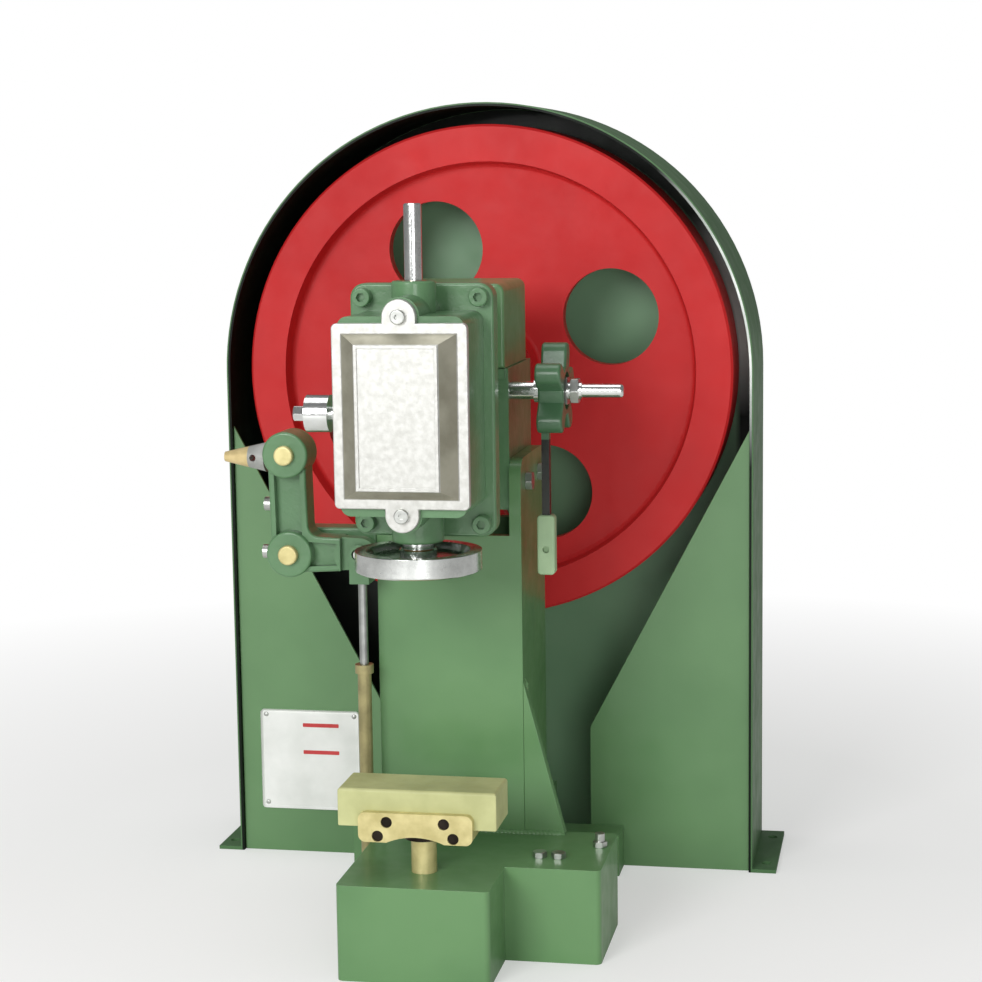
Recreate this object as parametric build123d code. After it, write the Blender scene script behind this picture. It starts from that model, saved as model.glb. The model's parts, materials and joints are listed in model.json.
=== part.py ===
from build123d import *
import os
from math import cos, radians, sin

os.makedirs("parts", exist_ok=True)

# A bench-mounted shoe punching machine, in millimetres. X runs to the right, Y runs to the back and
# Z runs up. The origin lies on the bench, in the middle of the four foot holes of the wheel guard.

# Clearances
overrun = 2.0  # how far a cutter runs past the face that it opens
weld_gap = 0.3  # gap between fixed pieces that are set together
seat_gap = 0.05  # radial gap of a pin, bush or screw in its seat
running_gap = 0.06  # radial gap of a running fit
end_float = 0.5  # play along a shaft or a pin
side_play = 1.0  # play beside a tongue in its fork
pin_play = 0.6  # radial play of a pin in a slotted hole

# Roundings
cast_edge = 2.5  # outer edges of a casting
cast_root = 3.0  # inner corners of a casting
screw_edge = 1.2  # edges of screw heads and nuts
hex_bar_share = 1.13  # round bar that a hexagon is cut from, over its width across flats

# Heights and depths that the whole machine hangs on
axis_height = 550.0  # flywheel and crankshaft above the bench
ram_axis_y = -412.0  # ram in front of the wheel's middle
throw = 12.5  # eccentric throw: half of the ram's stroke

# Wheel guard
guard_radius = 293.0
guard_depth = 150.0
guard_sheet = 4.0
foot_reach = 26.0
foot_hole_diameter = 11.0
foot_hole_pitch = 100.0
foot_hole_reach = 14.0  # from the guard's side to the hole
panel_inset = 6.0
opening_low_half_width = 113.0
opening_low_height = 157.0
opening_shoulder_drop = 60.0  # below the shaft's axis

# Bed and column
bed_height = 95.0
bed_front_y = -470.0
bed_wing_reach = 95.0  # past the column on the right
bed_wing_length = 127.0
tie_width = 300.0  # bar behind the bed that the guard stands against
tie_depth = 40.0
tie_height = 46.0
bed_edge = 6.0
column_width = 150.0
column_front_y = -275.0
column_depth = 140.0
column_plate = 12.0
column_top_drop = 146.0  # below the shaft's axis
cheek_top_drop = 68.0
cheek_corner = 20.0
gusset_reach = 42.0
gusset_rise = 160.0  # above the bed

# Flywheel
wheel_gap = 19.0  # between the wheel and the guard
wheel_width = 80.0
wheel_forward = 17.0  # middle of the wheel in front of the guard's middle
rim_thickness = 40.0
rim_draft = 3.0
rim_edge = 2.5
web_thickness = 18.0
web_recess = 20.0
hub_radius = 54.0
hub_front_reach = 16.0
web_root = 5.0  # rounding where the web meets the rim and the hub
window_place_share = 0.53  # of the way from the hub to the rim
window_size_share = 0.6  # of the width between the hub and the rim
window_count = 4
window_phase = 24.0  # degrees

# Crankshaft and what it carries
shaft_radius = 20.0
shaft_bush_wall = 8.0
shaft_bush_length = 60.0
crank_web_radius = 28.0
crank_pin_radius = 9.0
roller_radius = 12.0
retainer_thickness = 3.0
pin_stick_out = 2.0
end_washer_radius = 36.0
end_washer_thickness = 5.0
end_nut_across_flats = 50.0
end_nut_height = 14.0
shaft_stick_out = 4.0
collar_radius = 42.0
collar_groove_depth = 9.0
collar_groove_width = 14.0
collar_gap = 4.0  # between the collar and the wheel's hub, and the neck
key_width = 10.0
key_height = 8.0
key_length = 46.0

# Neck between the cheeks
neck_barrel_radius = 48.0
neck_flange_width = 132.0
neck_flange_top_reach = 110.0
neck_flange_low_reach = 126.0
neck_flange_thickness = 20.0
neck_leg_thickness = 13.0
neck_leg_low_reach = 120.0
neck_leg_depth = 128.0
saddle_low_reach = 34.0
shelf_inset = 15.0  # inside the column's side
shelf_thickness = 10.0
shelf_top_reach = 23.0
shelf_depth = 125.0
fork_bolt_radius = 5.0
fork_bolt_across_flats = 17.0
fork_bolt_head = 7.0
fork_bolt_inset = 34.0

# Clutch cover
cover_box_top_reach = 108.0
cover_box_sheet = 3.0
cover_box_corner = 9.0
cover_box_edge = 3.0

# Head
head_flange_width = 140.0
head_flange_top_reach = 114.0
head_flange_low_reach = 130.0
head_flange_thickness = 20.0
head_flange_corner = 14.0
head_width = 120.0
head_depth = 90.0
head_top_reach = 88.0
head_low_reach = 98.0
head_corner = 10.0
cavity_width = 92.0
cavity_top_reach = 68.0
cavity_low_reach = 72.0
cavity_corner = 8.0
head_rear_wall = 12.0
head_shaft_gap = 3.0
top_boss_radius = 21.0
top_boss_reach = 118.0
low_boss_radius = 25.0
low_boss_reach = 130.0
flange_screw_inset = 13.0
flange_screw_radius = 5.0
flange_screw_head_radius = 9.0
flange_screw_head = 11.0
flange_screw_grip = 34.0
flange_screw_socket = 8.0
lock_screw_radius = 8.0
lock_screw_stem = 23.0
lock_screw_collar_radius = 18.0
lock_screw_collar = 23.0
lock_screw_tip_radius = 7.0
lock_screw_tip = 13.0
lock_screw_drop = 8.0  # below the shaft's axis

# Front cover
cover_width = 128.0
cover_height = 172.0
cover_drop = 4.0
cover_flange = 7.0
cover_corner = 5.0
cover_border = 9.0
cover_rise = 15.0
cover_panel_width = 78.0
cover_panel_height = 134.0
cover_wall = 6.0
panel_rim_width = 3.0
panel_rim_rise = 1.5
ear_radius = 16.0
ear_reach = 6.0
ear_pad_margin = 2.0
cover_screw_radius = 3.0
cover_screw_head_radius = 7.0
cover_screw_head = 5.0
cover_screw_grip = 22.0
cover_screw_socket = 5.0

# Ram and striker disc
rod_radius = 8.5
rod_top_reach = 190.0
rod_chamfer = 1.5
ram_radius = 16.0
ram_spigot_radius = 10.0
guide_bush_wall = 4.5
yoke_depth = 24.0
yoke_rail = 14.0
yoke_end = 10.0
yoke_slot_play = 1.0
lag_share = 0.2106  # most that a real crank leads a ram driven at an even rate, per throw
disc_radius = 61.0
disc_thickness = 20.0
disc_top_drop = 138.0
disc_rim = 11.0
disc_dish = 7.0
disc_dish_slope = 3.0
disc_chamfer = 1.5
disc_floor_stop = 3.0  # spigot ends this far above the disc's lower face
disc_nut_radius = 18.0
disc_nut_height = 9.0

# Trip bell crank
pivot_reach = 71.0  # from the pedal rod to the pivot
pivot_drop = 162.0
upper_lean = 2.0  # upper pin further out than the pivot
upper_drop = 61.0
rod_beside = 10.0  # pedal rod beside the column
bell_boss_radius = 23.5
bell_boss_depth = 40.0
bell_arm_radius = 19.5
bell_arm_depth = 30.0
bell_web = 12.0
bell_flange = 6.0
bell_end_radius = 16.0
bell_inner_corner = 12.0
bell_tongue_depth = 14.0
bell_tongue_length = 19.0
pivot_pin_radius = 8.0
pivot_head_radius = 10.0
pivot_head = 6.0
bracket_depth = 27.5
bracket_height = 44.0
bracket_front_y = -277.5
finger_length = 44.0
finger_base_radius = 15.0
finger_tip_radius = 5.0
finger_drop = 4.0
finger_hole_radius = 3.5
finger_hole_inset = 12.0
finger_stem_radius = 6.0
finger_stem_length = 12.0
side_screw_radius = 4.0
side_screw_head_radius = 7.0
side_screw_head = 8.0
side_screw_grip = 12.0
side_screw_drop = 113.0

# Pedal rod
rod_pin_radius = 5.0
rod_pin_head = 2.0
fork_cheek = 6.0
fork_width = 20.0
fork_slot_travel = 1.8
fork_floor_gap = 5.0
fork_base = 9.0
pedal_rod_radius = 4.5
sleeve_radius = 7.0
rod_bare_length = 85.0  # rod between the fork and the sleeve
sleeve_low = 30.0
sleeve_grip = 40.0
sleeve_collar_radius = 9.5
sleeve_collar = 9.0

# Cross stud and clutch lever
stud_y = -258.0
stud_radius = 9.0
stud_seat_x = 38.0
stud_shoulder_reach = 19.0  # past the column
stud_shoulder_radius = 12.0
stud_shoulder = 6.0
stud_tip_radius = 7.0
stud_tip = 42.0
lever_hub_radius = 25.0
lever_hub_width = 10.0
lever_seat_radius = 19.0
lever_lobe_radius = 11.0
lever_lobe_reach = 38.0
lever_lobe_width = 26.0
lever_lobe_angles = (75, 15, -50, 230, 150)  # degrees from the back, going up
lever_arm_width = 9.0
lever_arm_thickness = 8.0
lever_arm_reach = 140.0
grip_top_drop = 126.0
grip_low_drop = 187.0
grip_width = 18.0
grip_depth = 15.0
grip_corner = 4.0
grip_edge = 2.0
grip_hole_radius = 3.5
grip_hole_depth = 5.0
grip_hole_drop = 161.0
stud_washer_radius = 16.0
stud_washer_thickness = 4.0
stud_nut_across_flats = 27.0
stud_nut_height = 13.0
stud_nut_space = 3.0
stud_lock_nut_across_flats = 24.0
stud_lock_nut_height = 8.0

# Anvil
anvil_width = 156.0
anvil_depth = 60.0
anvil_thickness = 37.0
anvil_top = 183.0
anvil_edge = 2.0
holder_width = 112.0
holder_floor = 8.0
holder_wall = 8.0
holder_wall_rise = 16.0
holder_wall_drop = 13.0
holder_notch_radius = 70.0
holder_notch_rise = 6.0
holder_corner = 7.0
holder_screw_radius = 4.0
holder_screw_head_radius = 5.5
holder_screw_head = 4.0
holder_screw_grip = 18.0
holder_screw_sink = 2.0
holder_screw_top_half_pitch = 28.0
holder_screw_top_rise = 7.0
holder_screw_low_half_pitch = 37.0
holder_screw_low_rise = 6.0  # above the lower edge of the holder's wall
post_radius = 12.5
post_nut_radius = 19.0
post_nut_height = 9.0

# Bolts on the bed's wing
base_bolt_radius = 4.0
base_bolt_across_flats = 13.0
base_bolt_head = 6.0
base_bolt_grip = 14.0
base_bolt_beside = 29.0  # first bolt beside the column
base_bolt_pitch = 19.0
base_bolt_reach = 90.0  # in front of the wing's back edge
base_stud_radius = 5.0
base_stud_tip = 8.0
base_stud_beside = 83.0
base_stud_reach = 47.0

# Levels that follow from the sizes above
wheel_radius = guard_radius - guard_sheet - wheel_gap
rim_inner = wheel_radius - rim_thickness
web_span = rim_inner - hub_radius
window_circle_radius = hub_radius + web_span * window_place_share
window_diameter = web_span * window_size_share
wheel_front_y = -wheel_forward - wheel_width / 2
wheel_back_y = wheel_front_y + wheel_width
hub_front_y = wheel_front_y - hub_front_reach
guard_front_y = -guard_depth / 2
guard_back_y = guard_depth / 2
panel_front_y = guard_front_y + panel_inset
opening_shoulder_height = axis_height - opening_shoulder_drop
column_back_y = column_front_y + column_depth
column_top = axis_height - column_top_drop
cheek_top = axis_height - cheek_top_drop
gusset_top = bed_height + gusset_rise
wing_right = column_width / 2 + bed_wing_reach
wing_back_y = column_front_y + column_plate
wing_front_y = wing_back_y - bed_wing_length
shelf_half_width = column_width / 2 - shelf_inset
rod_x = -column_width / 2 - rod_beside
pivot_x = rod_x - pivot_reach
upper_x = pivot_x - upper_lean
cheek_inner_x = column_width / 2 - column_plate
neck_back_y = column_back_y
head_rear_y = ram_axis_y + yoke_depth / 2 + head_rear_wall + head_flange_thickness + yoke_rail / 2
neck_front_y = head_rear_y
flange_front_y = head_rear_y - head_flange_thickness
cavity_rear_y = flange_front_y - head_rear_wall
head_front_y = flange_front_y - head_depth
yoke_back_y = ram_axis_y + yoke_depth / 2
yoke_front_y = ram_axis_y - yoke_depth / 2
crank_web_back_y = cavity_rear_y - end_float
crank_web_front_y = yoke_back_y + end_float
retainer_back_y = yoke_front_y - end_float
shaft_bush_radius = shaft_radius + running_gap + shaft_bush_wall
pin_height = axis_height + throw
slot_height = 2 * (roller_radius + throw * lag_share) + yoke_slot_play
yoke_half_height = slot_height / 2 + yoke_rail
slot_half_width = throw + roller_radius + yoke_slot_play
disc_top = axis_height - disc_top_drop
disc_low = disc_top - disc_thickness
disc_floor = disc_top - disc_dish
ram_low = disc_floor + disc_nut_height
pivot_height = axis_height - pivot_drop
upper_height = axis_height - upper_drop
bell_rear_y = bracket_front_y - end_float
bell_front_y = bell_rear_y - bell_boss_depth
bell_mid_y = (bell_rear_y + bell_front_y) / 2
bracket_back_y = bracket_front_y + bracket_depth
fork_floor = pivot_height - bell_end_radius - fork_floor_gap
fork_low = fork_floor - fork_base
sleeve_top = fork_low - rod_bare_length
fork_half_gap = bell_tongue_depth / 2 + side_play
fork_half_depth = fork_half_gap + fork_cheek
stud_shoulder_x = column_width / 2 + stud_shoulder_reach
lever_left_x = stud_shoulder_x + end_float
lever_right_x = lever_left_x + lever_hub_width
lobe_right_x = lever_left_x + lever_lobe_width
washer_left_x = lever_right_x + end_float
washer_right_x = washer_left_x + stud_washer_thickness
nut_right_x = washer_right_x + stud_nut_height
lock_nut_left_x = nut_right_x + stud_nut_space
lock_nut_right_x = lock_nut_left_x + stud_lock_nut_height
anvil_low = anvil_top - anvil_thickness
anvil_front_y = ram_axis_y - anvil_depth / 2
anvil_back_y = ram_axis_y + anvil_depth / 2
holder_front_y = anvil_front_y - holder_wall
holder_low = anvil_low - holder_floor
cover_height_mid = axis_height - cover_drop
ear_offset = cover_height / 2 + ear_reach


# Drawing helpers: a profile has its first axis across and its second axis up.

def rect(left, right, low, high):
    """Rectangle given by its four edges."""
    return Pos((left + right) / 2, (low + high) / 2) * Rectangle(right - left, high - low)


def rounded(left, right, low, high, corner):
    """Rectangle given by its four edges, with round corners."""
    return Pos((left + right) / 2, (low + high) / 2) * RectangleRounded(right - left, high - low, corner)


def spot(radius, across, up):
    """Circle at a place."""
    return Pos(across, up) * Circle(radius)


def hexagon(across_flats, across, up):
    """Hexagon at a place."""
    return Pos(across, up) * RegularPolygon(across_flats / 2, 6, major_radius=False)


def link(radius_a, place_a, radius_b, place_b):
    """Outline of a band stretched round two circles."""
    circles = spot(radius_a, *place_a).edges() + spot(radius_b, *place_b).edges()
    return make_hull(circles)


def run_y(profile, front, back):
    """Profile drawn in X and Z, from front to back."""
    return Pos(0, back, 0) * extrude(Plane.XZ * profile, back - front)


def run_x(profile, left, right):
    """Profile drawn in Y and Z, from left to right."""
    return Pos(left, 0, 0) * extrude(Plane.YZ * profile, right - left)


def run_z(profile, low, high):
    """Profile drawn in X and Y, from low to high."""
    return Pos(0, 0, low) * extrude(profile, high - low)


def turned_on_shaft(points):
    """Solid turned about the crankshaft's axis, from points of radius and Y."""
    return Pos(0, 0, axis_height) * revolve(make_face(Polyline(*points, close=True)), Axis.Y)


def turned_on_ram(points):
    """Solid turned about the ram's axis, from points of radius and Z."""
    profile = Plane.XZ * make_face(Polyline(*points, close=True))
    return Pos(0, ram_axis_y, 0) * revolve(profile, Axis.Z)


def soft_front(solid, radius):
    """Solid whose front face has a rounded outline."""
    return fillet(solid.faces().sort_by(Axis.Y)[0].outer_wire().edges(), radius)


def soft_ends(solid, axis, radius):
    """Solid whose two end faces along an axis have rounded outlines."""
    first, last = solid.faces().sort_by(axis)[0], solid.faces().sort_by(axis)[-1]
    return fillet(first.outer_wire().edges() + last.outer_wire().edges(), radius)


def hex_along_y(across_flats, place, front, back):
    """Hexagonal head or nut along Y, cut from round bar."""
    bar = run_y(spot(across_flats / 2 * hex_bar_share, *place), front, back)
    return run_y(hexagon(across_flats, *place), front, back) & soft_ends(bar, Axis.Y, screw_edge)


def hex_along_x(across_flats, place, left, right):
    """Hexagonal head or nut along X, cut from round bar."""
    bar = run_x(spot(across_flats / 2 * hex_bar_share, *place), left, right)
    return run_x(hexagon(across_flats, *place), left, right) & soft_ends(bar, Axis.X, screw_edge)


def hex_along_z(across_flats, place, low, high):
    """Hexagonal head or nut along Z, cut from round bar."""
    bar = run_z(spot(across_flats / 2 * hex_bar_share, *place), low, high)
    return run_z(hexagon(across_flats, *place), low, high) & soft_ends(bar, Axis.Z, screw_edge)


def group(solids):
    """Separate like solids that share one node."""
    joined = Part()
    for solid in solids:
        joined += solid
    return joined


# Wheel guard

def arch(inset):
    """Outline of the guard, drawn in from its outer face."""
    radius = guard_radius - inset
    return rect(-radius, radius, 0, axis_height) + spot(radius, 0, axis_height)


def guard_arch():
    inside = arch(guard_sheet) + rect(guard_sheet - guard_radius, guard_radius - guard_sheet, -overrun, 0)
    band = run_y(arch(0) - inside, guard_front_y, guard_back_y)
    for side in (-1, 1):
        edges = sorted((side * (guard_radius - guard_sheet), side * (guard_radius + foot_reach)))
        foot = rect(*edges, guard_front_y, guard_back_y)
        for end in (-1, 1):
            hole_x = side * (guard_radius + foot_hole_reach)
            foot -= spot(foot_hole_diameter / 2, hole_x, end * foot_hole_pitch / 2)
        band += run_z(foot, 0, guard_sheet)
    return band


def back_panel():
    return run_y(arch(guard_sheet + weld_gap), guard_back_y - guard_sheet, guard_back_y)


def front_panel(side):
    """Lower front sheet on one side, cut away on a slant to clear the wheel."""
    outer = guard_radius - guard_sheet - weld_gap
    corners = (
        (side * outer, 0),
        (side * outer, opening_shoulder_height),
        (side * opening_low_half_width, opening_low_height),
        (side * opening_low_half_width, 0),
    )
    return run_y(make_face(Polyline(*corners, close=True)), panel_front_y, panel_front_y + guard_sheet)


# Bed and column

def bed():
    half = column_width / 2
    back = panel_front_y - weld_gap
    body = run_z(rect(-half, half, bed_front_y, back), 0, bed_height)
    body += run_z(rect(half, wing_right, wing_front_y, wing_back_y), 0, bed_height)
    upright = body.edges().filter_by(Axis.Z)
    body = fillet(upright.group_by(Axis.Y)[0] + upright.group_by(Axis.X)[-1], bed_edge)
    body += run_z(rect(-tie_width / 2, tie_width / 2, back - tie_depth, back), 0, tie_height)
    body -= run_z(spot(post_radius + seat_gap, 0, ram_axis_y), bed_height / 2, bed_height + overrun)
    for radius, place in base_bolt_places():
        hole = spot(radius + seat_gap, *place)
        body -= run_z(hole, bed_height - base_bolt_grip - end_float, bed_height + overrun)
    return body


def base_bolt_places():
    """Radius and place of the two bolts and of the stud in the bed's wing."""
    first_x = column_width / 2 + base_bolt_beside
    bolt_y = wing_back_y - base_bolt_reach
    stud_x = column_width / 2 + base_stud_beside
    return (
        (base_bolt_radius, (first_x, bolt_y)),
        (base_bolt_radius, (first_x + base_bolt_pitch, bolt_y)),
        (base_stud_radius, (stud_x, wing_back_y - base_stud_reach)),
    )


def base_bolts():
    bolts = []
    for radius, place in base_bolt_places():
        head_top = bed_height + base_bolt_head
        bolt = hex_along_z(base_bolt_across_flats, place, bed_height, head_top)
        bolts.append(bolt + run_z(spot(radius, *place), bed_height - base_bolt_grip, bed_height))
    stud_radius_here, stud_place = base_bolt_places()[-1]
    bolts[-1] += run_z(spot(stud_radius_here, *stud_place), head_top, head_top + base_stud_tip)
    return group(bolts)


def fork_bolt_places():
    height = (axis_height - neck_leg_low_reach + cheek_top) / 2
    return ((column_front_y + fork_bolt_inset, height), (column_back_y - fork_bolt_inset, height))


def column_cheek(side):
    inner, outer = sorted((side * cheek_inner_x, side * column_width / 2))
    profile = rect(column_front_y, column_back_y, bed_height, cheek_top)
    profile = fillet(profile.vertices().group_by(Axis.Y)[-1], cheek_corner)
    for place in fork_bolt_places():
        profile -= spot(fork_bolt_radius + seat_gap, *place)
    return run_x(profile, inner, outer)


def column_plate_across(front):
    plate = rect(-cheek_inner_x, cheek_inner_x, bed_height, column_top)
    return run_y(plate, front, front + column_plate)


def side_gusset():
    root = column_width / 2
    corners = ((root, bed_height), (root + gusset_reach, bed_height), (root, gusset_top))
    return run_y(make_face(Polyline(*corners, close=True)), column_front_y, column_front_y + column_plate)


# Neck

def neck_legs():
    outer = cheek_inner_x - weld_gap
    middle = (column_front_y + column_back_y) / 2
    ends = (middle - neck_leg_depth / 2, middle + neck_leg_depth / 2)
    saddle = rect(-outer, outer, axis_height - saddle_low_reach, axis_height + shelf_top_reach)
    body = run_y(saddle, *ends)
    for side in (-1, 1):
        edges = sorted((side * outer, side * (outer - neck_leg_thickness)))
        leg = rect(*edges, axis_height - neck_leg_low_reach, axis_height)
        body += run_y(leg, *ends)
    return body


def neck():
    barrel = run_y(spot(neck_barrel_radius, 0, axis_height), neck_front_y, neck_back_y)
    half = neck_flange_width / 2
    flange = rounded(-half, half, axis_height - neck_flange_low_reach, axis_height + neck_flange_top_reach,
                     head_flange_corner)
    plate = run_y(flange, neck_front_y, neck_front_y + neck_flange_thickness)
    body = barrel + plate
    body = fillet(new_edges(barrel, plate, combined=body), cast_root) + neck_legs()
    shelf = rect(-shelf_half_width, shelf_half_width, axis_height + shelf_top_reach - shelf_thickness,
                 axis_height + shelf_top_reach)
    body += run_y(shelf, column_front_y, column_front_y + shelf_depth)
    bore = spot(shaft_bush_radius + seat_gap, 0, axis_height)
    body -= run_y(bore, neck_front_y - overrun, neck_back_y + overrun)
    for place in flange_screw_places():
        hole = spot(flange_screw_radius + seat_gap, *place)
        body -= run_y(hole, neck_front_y - overrun, flange_front_y + flange_screw_grip + end_float)
    for place in fork_bolt_places():
        hole = spot(fork_bolt_radius + seat_gap, *place)
        body -= run_x(hole, -column_width / 2, column_width / 2)
    body -= run_x(spot(stud_radius + seat_gap, stud_y, axis_height), stud_seat_x - end_float, column_width)
    return body


def fork_bolts():
    bolts = []
    leg_inner = cheek_inner_x - weld_gap - neck_leg_thickness
    for side in (-1, 1):
        for place in fork_bolt_places():
            face = side * column_width / 2
            head_edges = sorted((face, face + side * fork_bolt_head))
            shank_edges = sorted((side * leg_inner, face))
            head = hex_along_x(fork_bolt_across_flats, place, *head_edges)
            bolts.append(head + run_x(spot(fork_bolt_radius, *place), *shank_edges))
    return group(bolts)


def neck_bush(front):
    ring = spot(shaft_bush_radius, 0, axis_height) - spot(shaft_radius + running_gap, 0, axis_height)
    return run_y(ring, front, front + shaft_bush_length)


def clutch_cover():
    low = axis_height + shelf_top_reach + weld_gap
    top = axis_height + cover_box_top_reach
    outer = rect(-shelf_half_width, shelf_half_width, low, top)
    outer = fillet(outer.vertices().group_by(Axis.Y)[-1], cover_box_corner)
    back = column_front_y + shelf_depth
    shell = soft_ends(run_y(outer, column_front_y, back), Axis.Y, cover_box_edge)
    inner_half = shelf_half_width - cover_box_sheet
    inner = rect(-inner_half, inner_half, low - overrun, top - cover_box_sheet)
    inner = fillet(inner.vertices().group_by(Axis.Y)[-1], cover_box_corner - cover_box_sheet)
    shell -= run_y(inner, column_front_y + cover_box_sheet, back - cover_box_sheet)
    barrel_gap = spot(neck_barrel_radius + weld_gap, 0, axis_height)
    return shell - run_y(barrel_gap, column_front_y - overrun, back + overrun)


# Head

def flange_screw_places():
    x = head_flange_width / 2 - flange_screw_inset
    top = axis_height + head_flange_top_reach - flange_screw_inset
    low = axis_height - head_flange_low_reach + flange_screw_inset
    return ((-x, top), (x, top), (-x, low), (x, low))


def cover_screw_places():
    return ((0, cover_height_mid + ear_offset), (0, cover_height_mid - ear_offset))


def head_housing():
    half_flange = head_flange_width / 2
    flange = rounded(-half_flange, half_flange, axis_height - head_flange_low_reach,
                     axis_height + head_flange_top_reach, head_flange_corner)
    for place in flange_screw_places():
        flange -= spot(flange_screw_radius + seat_gap, *place)
    half = head_width / 2
    box = rounded(-half, half, axis_height - head_low_reach, axis_height + head_top_reach, head_corner)
    for x, height in cover_screw_places():
        pad = ear_radius + ear_pad_margin
        box += spot(pad, x, height) + rect(-pad, pad, *sorted((axis_height, height)))
    plate = soft_front(run_y(flange, flange_front_y, head_rear_y), cast_edge)
    block = run_y(box, head_front_y, flange_front_y)
    body = plate + block
    cavity_top = axis_height + cavity_top_reach
    cavity_low = axis_height - cavity_low_reach
    top_boss = run_z(spot(top_boss_radius, 0, ram_axis_y), cavity_top, axis_height + top_boss_reach)
    low_boss = run_z(spot(low_boss_radius, 0, ram_axis_y), axis_height - low_boss_reach, cavity_low)
    body += fillet(top_boss.edges().group_by(Axis.Z)[-1], cast_edge)
    body += fillet(low_boss.edges().group_by(Axis.Z)[0], cast_edge)
    half_cavity = cavity_width / 2
    cavity = rounded(-half_cavity, half_cavity, cavity_low, cavity_top, cavity_corner)
    body -= run_y(cavity, head_front_y - overrun, cavity_rear_y)
    shaft_hole = spot(shaft_radius + head_shaft_gap, 0, axis_height)
    body -= run_y(shaft_hole, cavity_rear_y - overrun, head_rear_y + overrun)
    top_bore = spot(rod_radius + running_gap + guide_bush_wall + seat_gap, 0, ram_axis_y)
    body -= run_z(top_bore, axis_height, axis_height + top_boss_reach + overrun)
    low_bore = spot(ram_radius + running_gap + guide_bush_wall + seat_gap, 0, ram_axis_y)
    body -= run_z(low_bore, axis_height - low_boss_reach - overrun, axis_height)
    for place in cover_screw_places():
        hole = spot(cover_screw_radius + seat_gap, *place)
        body -= run_y(hole, head_front_y - overrun, head_front_y + cover_screw_grip)
    lock_hole = spot(lock_screw_radius + seat_gap, ram_axis_y, axis_height - lock_screw_drop)
    body -= run_x(lock_hole, -half - overrun, -half_cavity + overrun)
    return body


def guide_bush(shaft, low_reach, high_reach):
    """Guide ring between two levels counted from the crankshaft's axis."""
    bore = shaft + running_gap
    ring = spot(bore + guide_bush_wall, 0, ram_axis_y) - spot(bore, 0, ram_axis_y)
    return run_z(ring, axis_height + low_reach, axis_height + high_reach)


def socket_screw(place, face, head_radius, head, radius, grip, socket):
    """Socket screw along Y whose head seats on a face."""
    top = face - head
    cap = soft_front(run_y(spot(head_radius, *place), top, face), screw_edge)
    screw = cap + run_y(spot(radius, *place), face, face + grip)
    return screw - run_y(hexagon(socket, *place), top - overrun, top + head / 2)


def flange_screws():
    return group(
        socket_screw(place, flange_front_y, flange_screw_head_radius, flange_screw_head, flange_screw_radius,
                     flange_screw_grip, flange_screw_socket)
        for place in flange_screw_places()
    )


def cover_frustum(width, height, y_base, panel_width, panel_height, y_top):
    base = Pos(0, y_base, cover_height_mid) * (Plane.XZ * Rectangle(width, height))
    panel = Pos(0, y_top, cover_height_mid) * (Plane.XZ * Rectangle(panel_width, panel_height))
    return loft([base, panel])


def panel_rim():
    """Narrow raised border round the cover's flat panel."""
    inner_width = cover_panel_width - 2 * panel_rim_width
    inner_height = cover_panel_height - 2 * panel_rim_width
    ring = Rectangle(cover_panel_width, cover_panel_height) - Rectangle(inner_width, inner_height)
    return Pos(0, cover_height_mid) * ring


def front_cover():
    half = cover_width / 2
    low = cover_height_mid - cover_height / 2
    plate = rounded(-half, half, low, low + cover_height, cover_corner)
    for x, height in cover_screw_places():
        plate += spot(ear_radius, x, height)
        plate += rect(-ear_radius, ear_radius, *sorted((cover_height_mid, height)))
    for place in cover_screw_places():
        plate -= spot(cover_screw_radius + seat_gap, *place)
    face = head_front_y - cover_flange
    top = face - cover_rise
    base_width = cover_width - 2 * cover_border
    base_height = cover_height - 2 * cover_border
    body = soft_front(run_y(plate, face, head_front_y), screw_edge)
    body += cover_frustum(base_width, base_height, face, cover_panel_width, cover_panel_height, top)
    body += run_y(panel_rim(), top - panel_rim_rise, top)
    trim = 2 * cover_wall
    hollow_back = run_y(Pos(0, cover_height_mid) * Rectangle(base_width - trim, base_height - trim), face,
                        head_front_y + overrun)
    hollow = cover_frustum(base_width - trim, base_height - trim, face, cover_panel_width - trim,
                           cover_panel_height - trim, top + cover_wall)
    return body - hollow_back - hollow


def cover_screws():
    return group(
        socket_screw(place, head_front_y - cover_flange, cover_screw_head_radius, cover_screw_head,
                     cover_screw_radius, cover_screw_grip, cover_screw_socket)
        for place in cover_screw_places()
    )


def stroke_lock_screw():
    place = (ram_axis_y, axis_height - lock_screw_drop)
    wall = -head_width / 2
    collar_right = wall - lock_screw_stem
    collar_left = collar_right - lock_screw_collar
    screw = run_x(spot(lock_screw_radius, *place), collar_right, -cavity_width / 2)
    screw += run_x(spot(lock_screw_collar_radius, *place), collar_left, collar_right)
    return screw + hex_along_x(2 * lock_screw_tip_radius, place, collar_left - lock_screw_tip, collar_left)


# Flywheel

def is_web_root(corner):
    on_web = wheel_front_y + rim_edge < corner.Y < wheel_back_y - rim_edge
    return on_web and corner.X < rim_inner


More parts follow.
